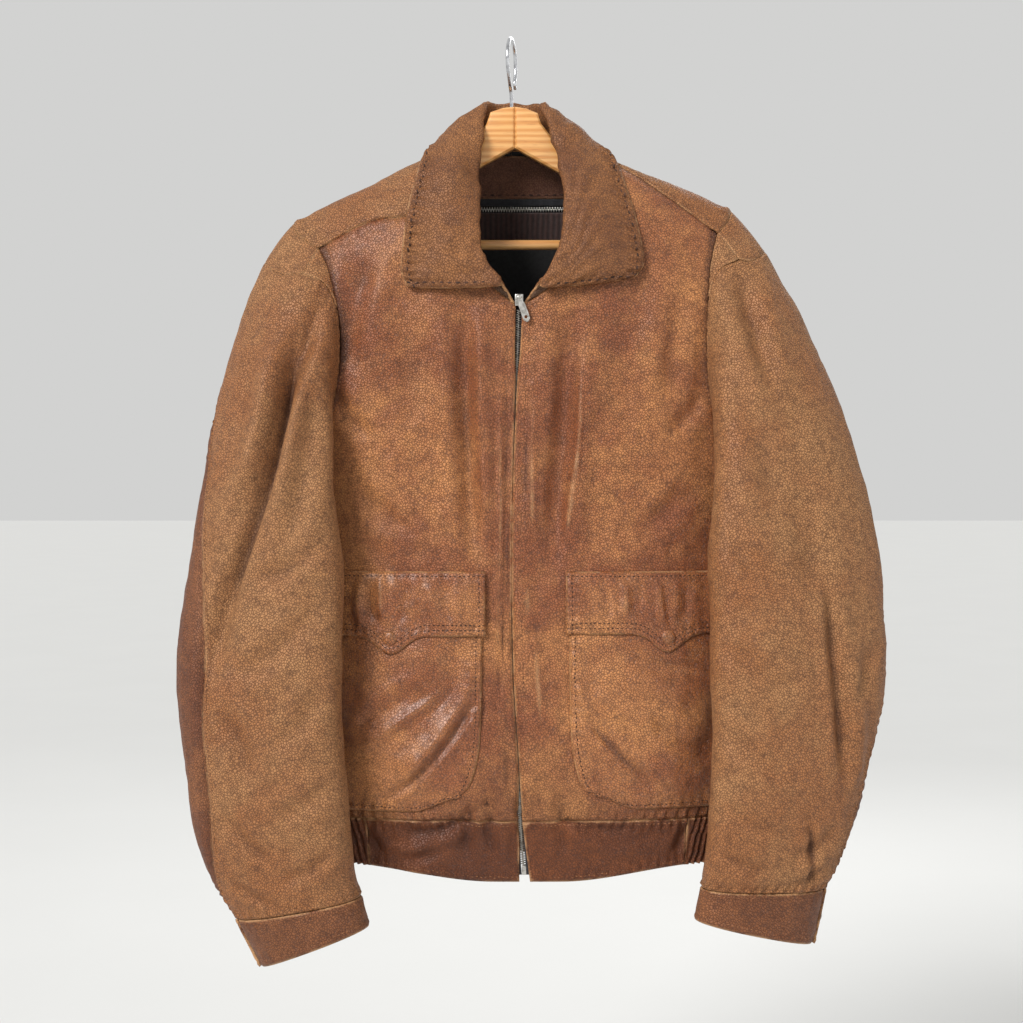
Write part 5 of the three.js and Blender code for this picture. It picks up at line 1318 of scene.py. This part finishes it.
def make_materials():
    look = bpy.context.scene.jacket_look
    tan, red, sleeve_tan = (tuple(colour) for colour in (look.tan, look.red, look.sleeve_tan))
    make_effects()
    MATERIALS.update({
        "body": leather("front and back leather", tan, red, 0.49, reddish=0.58, rub=0.6, coat=0.05,
                        low_dark=0.35),
        "sleeve": leather("sleeve leather", sleeve_tan, srgb(154, 96, 52), 0.6, reddish=0.42, rub=0.5),
        "under": leather("under sleeve leather", srgb(156, 100, 60), srgb(112, 62, 34), 0.56, reddish=0.55,
                         rub=0.5),
        "collar": leather("collar leather", srgb(158, 104, 58), srgb(120, 72, 38), 0.56, reddish=0.46,
                          rub=0.9),
        "pocket": leather("pocket leather", tan, red, 0.38, reddish=0.48, rub=0.6, coat=0.2),
        "band": leather("band leather", srgb(142, 78, 36), srgb(100, 50, 20), 0.52, reddish=0.6, rub=0.6,
                        low_dark=0.25),
        "cuff": leather("cuff leather", srgb(150, 94, 54), srgb(114, 66, 36), 0.54, reddish=0.5, rub=0.8),
        "stud": leather("covered stud leather", tan, red, 0.34, reddish=0.5, rub=0.12, coat=0.2),
        "facing": leather("facing leather", srgb(120, 78, 56), srgb(84, 50, 38), 0.5, reddish=0.5, rub=0.3),
        "flesh": leather("leather back", srgb(120, 92, 70), srgb(96, 68, 50), 0.8, reddish=0.5, rub=0.2),
        "lining": cloth("black lining", srgb(34, 32, 32), srgb(12, 11, 11)),
        "strip": cloth("ribbed strip", srgb(70, 44, 38), srgb(22, 12, 11), ribs=60.0),
        "tape": cloth("zip tape", srgb(34, 33, 40), srgb(12, 12, 16)),
        "nickel": metal("dull nickel", (0.62, 0.60, 0.56, 1), (0.36, 0.34, 0.31, 1), 0.34),
        "teeth": metal("aged zip teeth", (0.30, 0.28, 0.25, 1), (0.14, 0.12, 0.10, 1), 0.45),
        "wire": metal("plated wire", (0.66, 0.67, 0.69, 1), (0.42, 0.42, 0.44, 1), 0.18),
        "wood": timber("varnished wood", srgb(226, 172, 108), srgb(204, 140, 76), srgb(150, 90, 44)),
        "thread": thread("sewing thread", srgb(150, 100, 62), srgb(84, 48, 28)),
        "dark_thread": thread("dark sewing thread", srgb(78, 46, 28), srgb(40, 22, 14)),
    })


# Pieces

PANELS = {}
OUTER = 1.0
EDGE_CLOSED = 1.15


def shell(name, panel, thickness, slot, *looks):
    """Settles a sheet, keeps it for the stitches and adds it with its materials, the outer one first."""
    panel.settle()
    PANELS[name] = panel
    return add_panel(f"{name}_shell", panel, thickness, [MATERIALS[look] for look in looks], [name])


def add_fronts():
    for h in HANDS:
        grid = front_grid(h)
        x, z = grid[..., 0], grid[..., 2]
        closed = smooth_step(-296, -330, z) * smooth_step(-735, -690, z)
        grid[..., 0] = x - h["hand"] * EDGE_CLOSED * closed * bell(x - x[-1:], 7)
        panel = Panel(grid, outward_from((12, 30, -450)))
        panel.place(OUTER)
        panel.sew(["top", "left"])
        panel.sew(["bottom"], 5.0, 1.3)
        panel.sew(["right"], 9.0, 0.25, 0.5)
        panel.crease(FRONT_CREASES, bpy.context.scene.jacket_look.crease_strength)
        # Painted shade: a contact shadow where the sleeve lies over the front, and a soft painted shadow under the
        # collar
        panel.soil("left", 9, 5.5)
        panel.soil("top", 14, 1.6)
        panel.rumple(11 + h["hand"], 1.1, 0.42)
        piece = shell(f"front_{h['name']}", panel, LEATHER, "body_leather", "body", "lining")


def add_yokes():
    for h in HANDS:
        panel = Panel(rolled(yoke_cells(h)), outward_from((0, 0, -300)))
        panel.place(OUTER)
        panel.sew(["top", "bottom"], 6.0, 0.35)
        panel.sew(["left"], 8.0, 0.5, 0.2)
        neck_part = np.arange(panel.points.shape[1]) <= 5 * FINE
        panel.lift(-0.7 * bell(panel.to["right"], SEAM_DIP) * neck_part[None])
        panel.lift(1.4 * bell(panel.to["left"] - 3, 4) * smooth_step(0.1, 0.5, panel.normals[..., 2]))
        panel.rumple(23 + h["hand"], 0.9, 0.3)
        piece = shell(f"yoke_{h['name']}", panel, LEATHER, "sleeve_leather", "sleeve", "lining")


def add_back():
    panel = Panel(back_grid(), outward_from((12, -30, -450)))
    panel.place(OUTER)
    panel.sew(["top", "left", "right"])
    panel.sew(["bottom"], 5.0, 0.8)
    panel.crease(BACK_CREASES, 1.6 * bpy.context.scene.jacket_look.crease_strength, 1)
    panel.rumple(31, 1.0, 0.35)
    panel.settle()
    PANELS["back_panel"] = panel
    looks = [MATERIALS["body"], MATERIALS["lining"]]
    piece = add_panel("back_shell", panel, LEATHER, looks, ["back_panel"])


def add_collar():
    panel = Panel(collar_grid(), lambda p: float(np.sum((p.normals * (p.points - (0, 20, -160)))[:, -8:])))
    panel.place(0.5 * FOLDED_LEATHER)
    panel.sew(["bottom"], 8.0, 1.5, 0.9)
    panel.sew(["left", "right"], 8.0, 0.8, 0.9)
    along, down = panel.to["left"], panel.to["top"]
    at_roll = bell(panel.to["top"] - 0.42 * panel.to["top"][:, -1:], 26)
    panel.lift(0.9 * at_roll * np.sin(2 * math.pi * along / 27 + 1.6 * np.sin(along / 40)))
    panel.lift(0.8 * crumple(np.stack([along, down * 0.6, 0 * down], -1), 26, 5))
    panel.rumple(41, 0.8, 0.5)
    piece = shell("collar", panel, FOLDED_LEATHER, "collar_leather", "collar", "flesh")


def sleeve_axis(h):
    return (h["hand"] * 230 + (18 if h["hand"] > 0 else 2), -76, -650)


def add_sleeve_panel(h, kind, columns, place, slot, material, seed):
    k, v = sleeve_rows(h, columns, place, SLEEVE_HEAD_ROWS, SLEEVE_ARM_ROWS)
    axis = np.array(sleeve_axis(h))

    def outward(p):
        return float(np.sum((p.normals * (p.points - axis) * (1, 1, 0))[:, -70:]))

    panel = Panel(sleeve_point(h, k, v), outward)
    panel.place(OUTER)
    fold = h["fold"]
    fade = smooth_step(0.02, 0.27, v) * smooth_step(fold["end"], fold["end"] - 1.2, v)
    trough = fade * bell(k - h["fold_at"](v), fold["width"])
    panel.place(-fold["depth"] * trough)
    # Painted shade in the sleeve's fold, stronger on the right sleeve
    panel.relief = panel.relief - (2.4 if h["hand"] < 0 else 0.6) * trough ** 3
    panel.sew(["left", "right"], 6.0, 0.7)
    panel.sew(["bottom"], 5.0, 0.9)
    panel.sew(["top"], 5.0, 0.5, 0.3)
    strength = bpy.context.scene.jacket_look.crease_strength
    panel.crease(SLEEVE_CREASES[h["name"]], strength)
    panel.crease(SLEEVE_BACK_CREASES[h["name"]], strength, 1)
    panel.rumple(seed + h["hand"], 1.2, 0.36)
    piece = shell(f"sleeve_{kind}_{h['name']}", panel, LEATHER, slot, material, "lining")


def add_sleeves():
    top_labels = [-6, -4, -2, 0, 1.5, 3, 3.35, 3.7, 4, 4.4, 5, 6, 7, 8, 9, 10]
    top_columns = np.interp(np.linspace(0, 15, 91), np.arange(16), top_labels)
    under_columns = np.linspace(FRONT_SEAM, RING + SEAM_NOTCH, 52)
    for h in HANDS:
        add_sleeve_panel(h, "top", top_columns, top_place, "sleeve_leather", "sleeve", 53)
        add_sleeve_panel(h, "under", under_columns, under_place, "cuff_leather", "under", 67)


def add_caps():
    for h in HANDS:
        inside = outward_from((h["hand"] * 150, 0, -330))
        for name, labels, rows, cut in (
            (f"cap_rear_{h['name']}", np.linspace(CAP_BACK, CAP_SPLIT, 70), 14, (0.166, 0.052, 0.0053)),
            (f"cap_front_{h['name']}", np.linspace(CAP_SPLIT, CAP_FRONT, 16), 12, (0.062, 0.035, 0.0007)),
        ):
            panel = Panel(sleeve_point(h, *cap_cells(h, labels, rows)), inside)
            panel.place(OUTER)
            panel.sew(["bottom"], 4.0, 0.3, 0.1)
            piece = shell(name, panel, LEATHER, "sleeve_leather", "sleeve", "lining")


def add_cuffs():
    for h in HANDS:
        axis = np.array([(h["stations"][-1][0] + h["stations"][-1][3]) / 2, -72, 0])
        panel = Panel(cuff_grid(h), lambda p: float(np.sum(p.normals * (p.points - axis) * (1, 1, 0))))
        panel.place(FOLDED_LEATHER / 2)
        panel.sew(["bottom"], 6.0, 0.3, 0.7)
        panel.sew(["top"], 4.0, 0.5, 0.7)
        panel.rumple(71 + h["hand"], 0.7, 0.4)
        piece = shell(f"cuff_{h['name']}", panel, FOLDED_LEATHER, "cuff_leather", "cuff", "flesh")
        spot, out = panel.points[114, 9], panel.normals[114, 9]
        add_stud(f"cuff_stud_{h['name']}", spot, out, MATERIALS["nickel"], f"cuff_snap_{h['name']}")


# A stud's domed outline, as shares of its radius and height
STUD_OUTLINE = [
    (0, 0), (1, 0), (1.02, 0.16), (0.99, 0.34), (0.9, 0.56), (0.72, 0.78), (0.5, 0.92), (0.25, 0.99), (0, 1),
]


def add_stud(name, spot, out, material, node, radius=6.0, height=2.4):
    bm = bmesh.new()
    spun(bm, [(r * radius, y * height) for r, y in STUD_OUTLINE])
    place = Matrix([list(row) for row in turned_to(out, spot)] + [[0, 0, 0, 1]])
    bmesh.ops.transform(bm, matrix=Matrix.Scale(MM, 4) @ place, verts=bm.verts)
    mesh = mesh_from(name, bm)
    mesh.shade_smooth()
    new_object(name, mesh, "jacket", [material], [node])


# Where the elastic's stitch rows run, as shares of the band's height
ELASTIC_ROWS = (0.12, 0.37, 0.62, 0.87)


def add_band():
    for h in HANDS:
        zip_turn, front_turn, back_turn = band_turns(h)
        for name, grid, ruffle in (
            (f"band_front_{h['name']}", band_grid(front_turn, zip_turn, 60, h["band_flare"]), 0.0),
            (f"band_side_{h['name']}", band_grid(back_turn, front_turn, 190), 2.1),
        ):
            add_band_panel(name, grid, ruffle, 81 + h["hand"])
    right, left = (float(angle_of(h["band_back_end"], WAIST_Z)) for h in HANDS)
    share = np.linspace(0, 1, 101)[:, None]
    f = np.linspace(0, 1, BAND_ROWS)[None]
    angle = lerp(right, left, share) + 0 * f
    z = lerp(WAIST_Z, hem_z(1, x_of(angle, WAIST_Z)), f)
    add_band_panel("band_back", body_point(1, x_of(angle, z), z), 0.0, 87)


def add_band_panel(name, grid, ruffle, seed):
    panel = Panel(grid, outward_from((12, 12, -765)))
    panel.place(OUTER)
    run, down = panel.to["left"], panel.to["top"] / panel.to["top"][:, -1:]
    if ruffle:
        wave = np.sin(2 * math.pi * run / 6.6 + 1.3 * np.sin(run / 9) + 0.5 * np.sin(down * 11))
        sewn = 0.3 + 0.7 * np.abs(np.sin(4 * math.pi * (down - ELASTIC_ROWS[0])))
        panel.lift(ruffle * wave * sewn * smooth_step(0, 7, panel.rim(("left", "right"))))
    else:
        panel.sew(["top"], 4.0, 1.3)
        panel.sew(["bottom"], 5.0, 0.9, 0.7)
        panel.lift(2.0 * crumple(grid, 24, seed) * smooth_step(0, 10, panel.rim()))
        panel.crease(FRONT_CREASES, 1.5)
    panel.rumple(seed, 0.6, 0.4)
    piece = shell(name, panel, LEATHER, "band_leather", "band", "flesh")


def add_pockets():
    for h in HANDS:
        p = h["pocket"]
        flat = pocket_flat(p)
        panel = Panel(body_point(-1, flat[..., 0], flat[..., 1]), outward_from((12, 30, -620)))
        panel.place(POCKET_LIFT + OUTER + pocket_rise(p, flat[..., 0], flat[..., 1]))
        panel.sew(["left", "right", "bottom"], 6.0, 0.85, 0.9)
        panel.crease(POCKET_CREASES, bpy.context.scene.jacket_look.crease_strength)
        panel.rumple(91 + h["hand"], 1.1, 0.35)
        piece = shell(f"pocket_{h['name']}", panel, LEATHER, "body_leather", "pocket", "flesh")
        flap(h, p)


def flap(h, p):
    flat = flap_flat(p)
    x, z = flat[..., 0], flat[..., 1]
    panel = Panel(body_point(-1, x, z), outward_from((12, 30, -540)))
    over = lerp(FLAP_SEAT, FLAP_LIFT + pocket_rise(p, x, z), smooth_step(0, 9, p["flap_top"] - z))
    panel.place(over + FOLDED_LEATHER / 2)
    panel.sew(["left", "right", "bottom"], 6.0, 0.75, 0.8)
    panel.sew(["top"], 5.0, 0.3, 0.6)
    panel.lift(-0.5 * bell(panel.to["top"] - 9, 2))
    panel.crease(FLAP_CREASES, bpy.context.scene.jacket_look.crease_strength)
    panel.rumple(97 + h["hand"], 0.9, 0.35)
    piece = shell(f"flap_{h['name']}", panel, FOLDED_LEATHER, "body_leather", "pocket", "flesh")
    column = int(np.argmin(np.abs(x[:, 0] - p["point_x"])))
    row = int(np.argmin(np.abs(z[column] - p["snap_z"])))
    spot = panel.points[column, row] - panel.normals[column, row] * 0.3
    add_stud(f"flap_stud_{h['name']}", spot, panel.normals[column, row], MATERIALS["stud"],
             f"flap_snap_{h['name']}", 6.4, 2.2)


def tooth(bm):
    bmesh.ops.create_cube(bm, size=1.0)
    bmesh.ops.bevel(bm, geom=bm.edges[:], offset=0.16, offset_type="OFFSET", affect="EDGES", segments=1,
                    profile=0.5, material=-1)


def add_zip():
    z = np.arange(-263, -779, -1.05)
    x = zip_x(z)
    cells = cells_of(-1, np.stack([x, z], -1))
    middle = rolled(cells) - facing_front(cells) * 2.4
    for h in HANDS:
        own = np.arange(len(z)) % 2 == (0 if h["hand"] < 0 else 1)
        spots = middle[own] + np.array([h["hand"] * 0.75, 0, 0])
        mesh = tiled(f"teeth_{h['name']}", tooth, at_spots((2.9, 2.0, 0.95), spots))
        node = f"zip_teeth_{h['name']}"
        new_object(f"teeth_{h['name']}", mesh, "jacket", [MATERIALS["teeth"]], [node])
        rows = np.linspace(-262, -788, 176)
        reach = h["hand"] * np.linspace(2.2, 15, 12)[:, None]
        flat_x = zip_x(rows)[None] + reach
        grid = body_point(-1, flat_x, rows[None] + 0 * reach)
        panel = Panel(grid, outward_from((12, 30, -450)))
        panel.lift(-(LEATHER / 2 + 0.3 + 0.5) + 0.12 * np.sin(panel.to["top"] * 2.1))
        panel.settle()
        node = f"zip_tape_{h['name']}"
        piece = add_panel(f"tape_{h['name']}", panel, 0.8, [MATERIALS["tape"]], [node])
    softened_copy("bottom_box", "zip_box", 0.35, "jacket", MATERIALS["nickel"])
    softened_copy("slider", "zip_slider", 0.25, "jacket", MATERIALS["nickel"])
    softened_copy("pull_tab", "zip_pull", 0.22, "zip_pull", MATERIALS["nickel"])


def add_inside():
    def facing_top(x):
        return shoulder_line(x) - 15

    bands = (
        ("neck_facing", facing_top, -143, 2.0, "facing_leather", "facing", (0.17, 0.045)),
        ("liner_zip_tape", lambda x: -143 + 0 * x, -150, 1.0, "tape", "tape", (0.165, 0.01)),
        ("liner_strip", lambda x: -156 + 0 * x, -186, 2.0, "pile", "strip", (0.17, 0.03)),
        ("lining_back", lambda x: -186 + 0 * x, -330, 1.0, "lining", "lining", (0.17, 0.145)),
    )
    for name, top, low, thick, slot, material, cut in bands:
        x = np.linspace(-76, 84, 81)
        share = np.linspace(0, 1, max(int(cut[1] * 500), 7))
        z = lerp(top(x)[:, None], low, share[None])
        base = rolled(cells_of(1, np.stack([np.repeat(x[:, None], len(share), 1), z], -1)))
        panel = Panel(base, lambda p: -float(np.sum(p.normals * (p.points - (0, -60, -300)))))
        panel.place(4.2 + thick / 2)
        panel.sew(["top", "bottom"], 4.0, 0.3, 0.5)
        panel.lift(0.5 * crumple(base, 30, 7))
        panel.settle()
        PANELS[name] = panel
        piece = add_panel(f"{name}_cloth", panel, thick, [MATERIALS[material]], [name])
    x = np.arange(-75, 83, 1.3)
    base = cells_of(1, np.stack([x, np.full(len(x), -153.0)], -1))
    spots = rolled(base) + facing_front(base) * 4.4
    spots[:, 2] += 0.9 * (np.arange(len(x)) % 2 * 2 - 1)
    mesh = tiled("liner_teeth", tooth, at_spots((1.0, 2.0, 2.9), spots))
    new_object("liner_teeth", mesh, "jacket", [MATERIALS["nickel"]], ["liner_zip_teeth"])


def add_hanger():
    for h in HANDS:
        name = f"hanger_arm_{h['name']}"
        softened_copy(f"arm_{h['name']}", name, 0.7, "jacket", MATERIALS["wood"])
    bm = bmesh.new()
    place = Matrix.Translation((3.3 * MM, 0, -194.5 * MM)) @ Matrix.Rotation(math.pi / 2, 4, "Y")
    bmesh.ops.create_cone(bm, cap_ends=True, segments=40, radius1=4.7 * MM, radius2=4.7 * MM, depth=366 * MM,
                          matrix=place)
    ends = [e for e in bm.edges if e.calc_face_angle(0) > 1]
    bmesh.ops.bevel(bm, geom=ends, offset=0.6 * MM, offset_type="OFFSET", affect="EDGES", segments=2,
                    profile=0.5, material=-1)
    mesh = mesh_from("bar", bm)
    mesh.shade_smooth()
    mesh.set_sharp_from_angle(angle=0.6)
    new_object("bar", mesh, "jacket", [MATERIALS["wood"]], ["hanger_bar"])
    add_hook()


def add_hook():
    radius, wire, yaw = 21.0, 3.4, 0.17
    centre = radius + wire / 2
    angles = np.radians(np.linspace(215, -25, 60))
    crown = [(centre * math.cos(a), -radius + centre * math.sin(a)) for a in angles]
    shank = [(0, -78), (0, -66), (-0.4, -56), (-3.5, -48.5), (-10, -43)]
    line = [*shank, *crown, (17.2, -35.4), (17.6, -38.5), (20.2, -40.2)]
    path = evenly(smooth_curve([(math.sin(yaw) * y, math.cos(yaw) * y, z) for y, z in line], 6), 150)
    curve = bpy.data.curves.new("hook_line", "CURVE")
    curve.dimensions = "3D"
    curve.bevel_depth = wire / 2 * MM
    curve.bevel_resolution = 6
    curve.use_fill_caps = True
    spline = curve.splines.new("POLY")
    spline.points.add(len(path) - 1)
    for point, spot in zip(spline.points, path):
        point.co = (*(spot * MM), 1)
    shaped = bpy.data.objects.new("hook_line", curve)
    mesh = bpy.data.meshes.new_from_object(shaped)
    bpy.data.objects.remove(shaped)
    bm = bmesh.new()
    bm.from_mesh(mesh)
    bmesh.ops.remove_doubles(bm, verts=bm.verts, dist=0.00001)
    tip = Matrix.Translation(path[-1] * MM)
    bmesh.ops.create_uvsphere(bm, u_segments=20, v_segments=12, radius=2.0 * MM, matrix=tip)
    bmesh.ops.recalc_face_normals(bm, faces=bm.faces)
    bm.to_mesh(mesh)
    bm.free()
    mesh.shade_smooth()
    mesh.materials.clear()
    new_object("hook_wire", mesh, "jacket", [MATERIALS["wire"]], ["hook"])


# Each group's stitch length, width and thread, and its lines: sheet, then edge and inset for each line
STITCHES = {
    "body": (2.9, 1.0, "thread", [
        ("front_{}", ("top", 5), ("left", 6), ("right", 9), ("bottom", 4)),
        ("yoke_{}", ("top", 4), ("left", 7), ("bottom", 4)),
        ("back_panel", ("top", 5), ("bottom", 4)),
        ("band_front_{}", ("top", 4), ("bottom", 5)),
        ("band_back", ("top", 4), ("bottom", 5)),
    ]),
    "pockets": (2.9, 1.3, "dark_thread", [
        ("pocket_{}", ("left", 6), ("right", 6), ("bottom", 6)),
        ("flap_{}", ("left", 6, 0.1), ("right", 6, 0.1), ("bottom", 6), ("bottom", 11), ("top", 5)),
    ]),
    "sleeves": (2.9, 1.0, "thread", [
        ("sleeve_top_{}", ("left", 5), ("right", 5), ("top", 4)),
        ("cap_rear_{}", ("bottom", 4)),
        ("cap_front_{}", ("bottom", 4)),
        ("cuff_{}", ("top", 4), ("bottom", 6), ("right", 5)),
    ]),
    "collar": (5.0, 2.0, "dark_thread", [
        ("collar", ("bottom", 7.5), ("left", 7.5, 0.35), ("right", 7.5, 0.35)),
        ("neck_facing", ("bottom", 4)),
    ]),
}


def add_stitches():
    for group, (length, width, material, lines) in STITCHES.items():
        length = length * bpy.context.scene.jacket_look.stitch_share
        places = []
        for name, *sewn in lines:
            names = [name.format(h["name"]) for h in HANDS] if "{" in name else [name]
            for line in sewn:
                for each in names:
                    points, ups = PANELS[each].line(*line)
                    places.append(stitch_places(points, ups, length * 1.5, length, width, 0.8 * width))
        if group == "body":
            for side in ("right", "left"):
                panel = PANELS[f"band_side_{side}"]
                for share in ELASTIC_ROWS:
                    row = int(share * (panel.points.shape[1] - 1))
                    points, ups = panel.points[:, row], panel.normals[:, row]
                    places.append(stitch_places(points, ups, 2.6, 2.0, 0.6, 0.5))
        mesh = tiled(f"stitches_{group}", small_bead, np.concatenate(places))
        new_object(f"stitches_{group}", mesh, "jacket", [MATERIALS[material]])


# The lights: name, kind, place, size or angle, and power; and the camera that matches the photo's view
LIGHTS = (
    ("key", "SUN", (-1.5, -2.0, 1.05), math.radians(24), 3.0),
    ("fill", "AREA", (1.9, -1.9, -0.1), 1.9, 9),
    ("back light", "AREA", (0.6, 2.2, 0.9), 1.6, 22),
)
LIT_SPOT = (0.02, 0, -0.42)
CAMERA_LENS = 58.94
CAMERA_SPOT = (0, -1.611, -0.4163)
CAMERA_TILT = math.radians(88.8)


def add_stage():
    scene = bpy.context.scene
    look = scene.jacket_look
    bm = bmesh.new()
    bmesh.ops.create_grid(bm, x_segments=1, y_segments=1, size=30)
    bmesh.ops.translate(bm, verts=bm.verts, vec=(0, 0, look.floor_height))
    mesh = mesh_from("floor", bm)
    floor = bpy.data.objects.new("floor", mesh)
    scene.collection.objects.link(floor)
    material, n, shader, vector = start_material("pale floor")
    colour = n.mixed(n.noise(vector, 3.0), srgb(212, 212, 210), srgb(208, 208, 206))
    n.feed(shader, {"Base Color": colour, "Roughness": 0.9})
    mesh.materials.append(material)
    world = bpy.data.worlds.new("soft room")
    world.use_nodes = True
    world.node_tree.nodes["Background"].inputs["Color"].default_value = (0.92, 0.92, 0.91, 1)
    world.node_tree.nodes["Background"].inputs["Strength"].default_value = look.room_light
    scene.world = world
    scene.view_settings.view_transform = "Standard"
    for name, kind, spot, size, power in LIGHTS:
        light = bpy.data.lights.new(name, kind)
        light.energy = power
        if kind == "SUN":
            light.angle = size
        else:
            light.shape = "SQUARE"
            light.size = size
        lamp = bpy.data.objects.new(name, light)
        lamp.location = spot
        lamp.rotation_euler = (Vector(LIT_SPOT) - Vector(spot)).to_track_quat("-Z", "Y").to_euler()
        scene.collection.objects.link(lamp)
    lens = bpy.data.cameras.new("view")
    lens.lens = CAMERA_LENS
    camera = bpy.data.objects.new("view", lens)
    camera.location = CAMERA_SPOT
    camera.rotation_euler = (CAMERA_TILT, 0, 0)
    scene.collection.objects.link(camera)
    scene.camera = camera


# The add-on: settings, one operator for each group of pieces, and a panel that lists them

class JacketLook(bpy.types.PropertyGroup):
    crease_strength: bpy.props.FloatProperty(
        name="Crease strength", description="Depth of the creases as a share", default=1.4, min=0.0, max=2.0,
        subtype="FACTOR")
    stitch_share: bpy.props.FloatProperty(
        name="Stitch length", description="Length of the stitches as a share", default=1.0, min=0.5, max=2.0,
        subtype="FACTOR")
    floor_height: bpy.props.FloatProperty(
        name="Floor height", description="Height of the floor below the hook", default=-1.25, unit="LENGTH")
    room_light: bpy.props.FloatProperty(
        name="Room light", description="Strength of the even light", default=0.7)
    tan: bpy.props.FloatVectorProperty(
        name="Tan", description="Leather where it is dry", subtype="COLOR", size=4,
        default=srgb(200, 135, 80), min=0, max=1)
    red: bpy.props.FloatVectorProperty(
        name="Reddish brown", description="Leather where its finish is left", subtype="COLOR", size=4,
        default=srgb(142, 80, 47), min=0, max=1)
    sleeve_tan: bpy.props.FloatVectorProperty(
        name="Sleeve tan", description="Paler leather of the sleeves and yokes", subtype="COLOR", size=4,
        default=srgb(170, 121, 77), min=0, max=1)
    pale: bpy.props.FloatVectorProperty(
        name="Rubbed edge", description="Leather where it is rubbed bare", subtype="COLOR", size=4,
        default=srgb(208, 158, 110), min=0, max=1)
    dark: bpy.props.FloatVectorProperty(
        name="Dark leather and painted shade", description="Leather in its hollows and pores", subtype="COLOR", size=4,
        default=srgb(58, 29, 16), min=0, max=1)


class JACKET_OT_materials(bpy.types.Operator):
    """Make the leather, cloth, metal and wood"""
    bl_idname = "jacket.materials"
    bl_label = "Materials"

    def execute(self, context):
        make_materials()
        return {"FINISHED"}


class JACKET_OT_fronts(bpy.types.Operator):
    """Build the two fronts"""
    bl_idname = "jacket.fronts"
    bl_label = "Fronts"

    def execute(self, context):
        add_fronts()
        return {"FINISHED"}


class JACKET_OT_yokes(bpy.types.Operator):
    """Build the shoulder yokes"""
    bl_idname = "jacket.yokes"
    bl_label = "Yokes"

    def execute(self, context):
        add_yokes()
        return {"FINISHED"}


class JACKET_OT_back(bpy.types.Operator):
    """Build the back panel"""
    bl_idname = "jacket.back"
    bl_label = "Back"

    def execute(self, context):
        add_back()
        return {"FINISHED"}


class JACKET_OT_collar(bpy.types.Operator):
    """Build the turned-down collar"""
    bl_idname = "jacket.collar"
    bl_label = "Collar"

    def execute(self, context):
        add_collar()
        return {"FINISHED"}


class JACKET_OT_sleeves(bpy.types.Operator):
    """Build the top and under sleeves and their head pieces"""
    bl_idname = "jacket.sleeves"
    bl_label = "Sleeves"

    def execute(self, context):
        add_sleeves()
        add_caps()
        return {"FINISHED"}


class JACKET_OT_cuffs(bpy.types.Operator):
    """Build the cuffs and their studs"""
    bl_idname = "jacket.cuffs"
    bl_label = "Cuffs"

    def execute(self, context):
        add_cuffs()
        return {"FINISHED"}


class JACKET_OT_band(bpy.types.Operator):
    """Build the waistband with its elastic sides"""
    bl_idname = "jacket.band"
    bl_label = "Waistband"

    def execute(self, context):
        add_band()
        return {"FINISHED"}


class JACKET_OT_pockets(bpy.types.Operator):
    """Build the patch pockets with their flaps and studs"""
    bl_idname = "jacket.pockets"
    bl_label = "Pockets"

    def execute(self, context):
        add_pockets()
        return {"FINISHED"}


class JACKET_OT_zip(bpy.types.Operator):
    """Build the zip with its slider and pull tab"""
    bl_idname = "jacket.zip"
    bl_label = "Zip"

    def execute(self, context):
        add_zip()
        return {"FINISHED"}


class JACKET_OT_inside(bpy.types.Operator):
    """Build what shows inside the neck"""
    bl_idname = "jacket.inside"
    bl_label = "Neck inside"

    def execute(self, context):
        add_inside()
        return {"FINISHED"}


class JACKET_OT_hanger(bpy.types.Operator):
    """Build the wooden hanger and its wire hook"""
    bl_idname = "jacket.hanger"
    bl_label = "Hanger"

    def execute(self, context):
        add_hanger()
        return {"FINISHED"}


class JACKET_OT_stitches(bpy.types.Operator):
    """Sew the visible stitches along the seams"""
    bl_idname = "jacket.stitches"
    bl_label = "Stitches"

    def execute(self, context):
        add_stitches()
        return {"FINISHED"}


class JACKET_OT_stage(bpy.types.Operator):
    """Set the floor, the lights and the camera"""
    bl_idname = "jacket.stage"
    bl_label = "Stage"

    def execute(self, context):
        add_stage()
        return {"FINISHED"}


OPERATORS = (
    JACKET_OT_materials, JACKET_OT_fronts, JACKET_OT_yokes, JACKET_OT_back, JACKET_OT_collar, JACKET_OT_sleeves,
    JACKET_OT_cuffs, JACKET_OT_band, JACKET_OT_pockets, JACKET_OT_zip, JACKET_OT_inside, JACKET_OT_hanger,
    JACKET_OT_stitches, JACKET_OT_stage,
)


class JACKET_PT_panel(bpy.types.Panel):
    """The jacket's settings and steps"""
    bl_label = "Leather jacket"
    bl_idname = "JACKET_PT_panel"
    bl_space_type = "VIEW_3D"
    bl_region_type = "UI"
    bl_category = "Jacket"

    def draw(self, context):
        look = context.scene.jacket_look
        for key in JacketLook.__annotations__:
            self.layout.prop(look, key)
        for operator in OPERATORS:
            self.layout.operator(operator.bl_idname)


def register():
    for each in (JacketLook, *OPERATORS, JACKET_PT_panel):
        bpy.utils.register_class(each)
    bpy.types.Scene.jacket_look = bpy.props.PointerProperty(type=JacketLook)


def unregister():
    del bpy.types.Scene.jacket_look
    for each in (JACKET_PT_panel, *reversed(OPERATORS), JacketLook):
        bpy.utils.unregister_class(each)


def main():
    register()
    for operator in OPERATORS:
        group, name = operator.bl_idname.split(".")
        getattr(getattr(bpy.ops, group), name)()


if __name__ == "__main__":
    main()
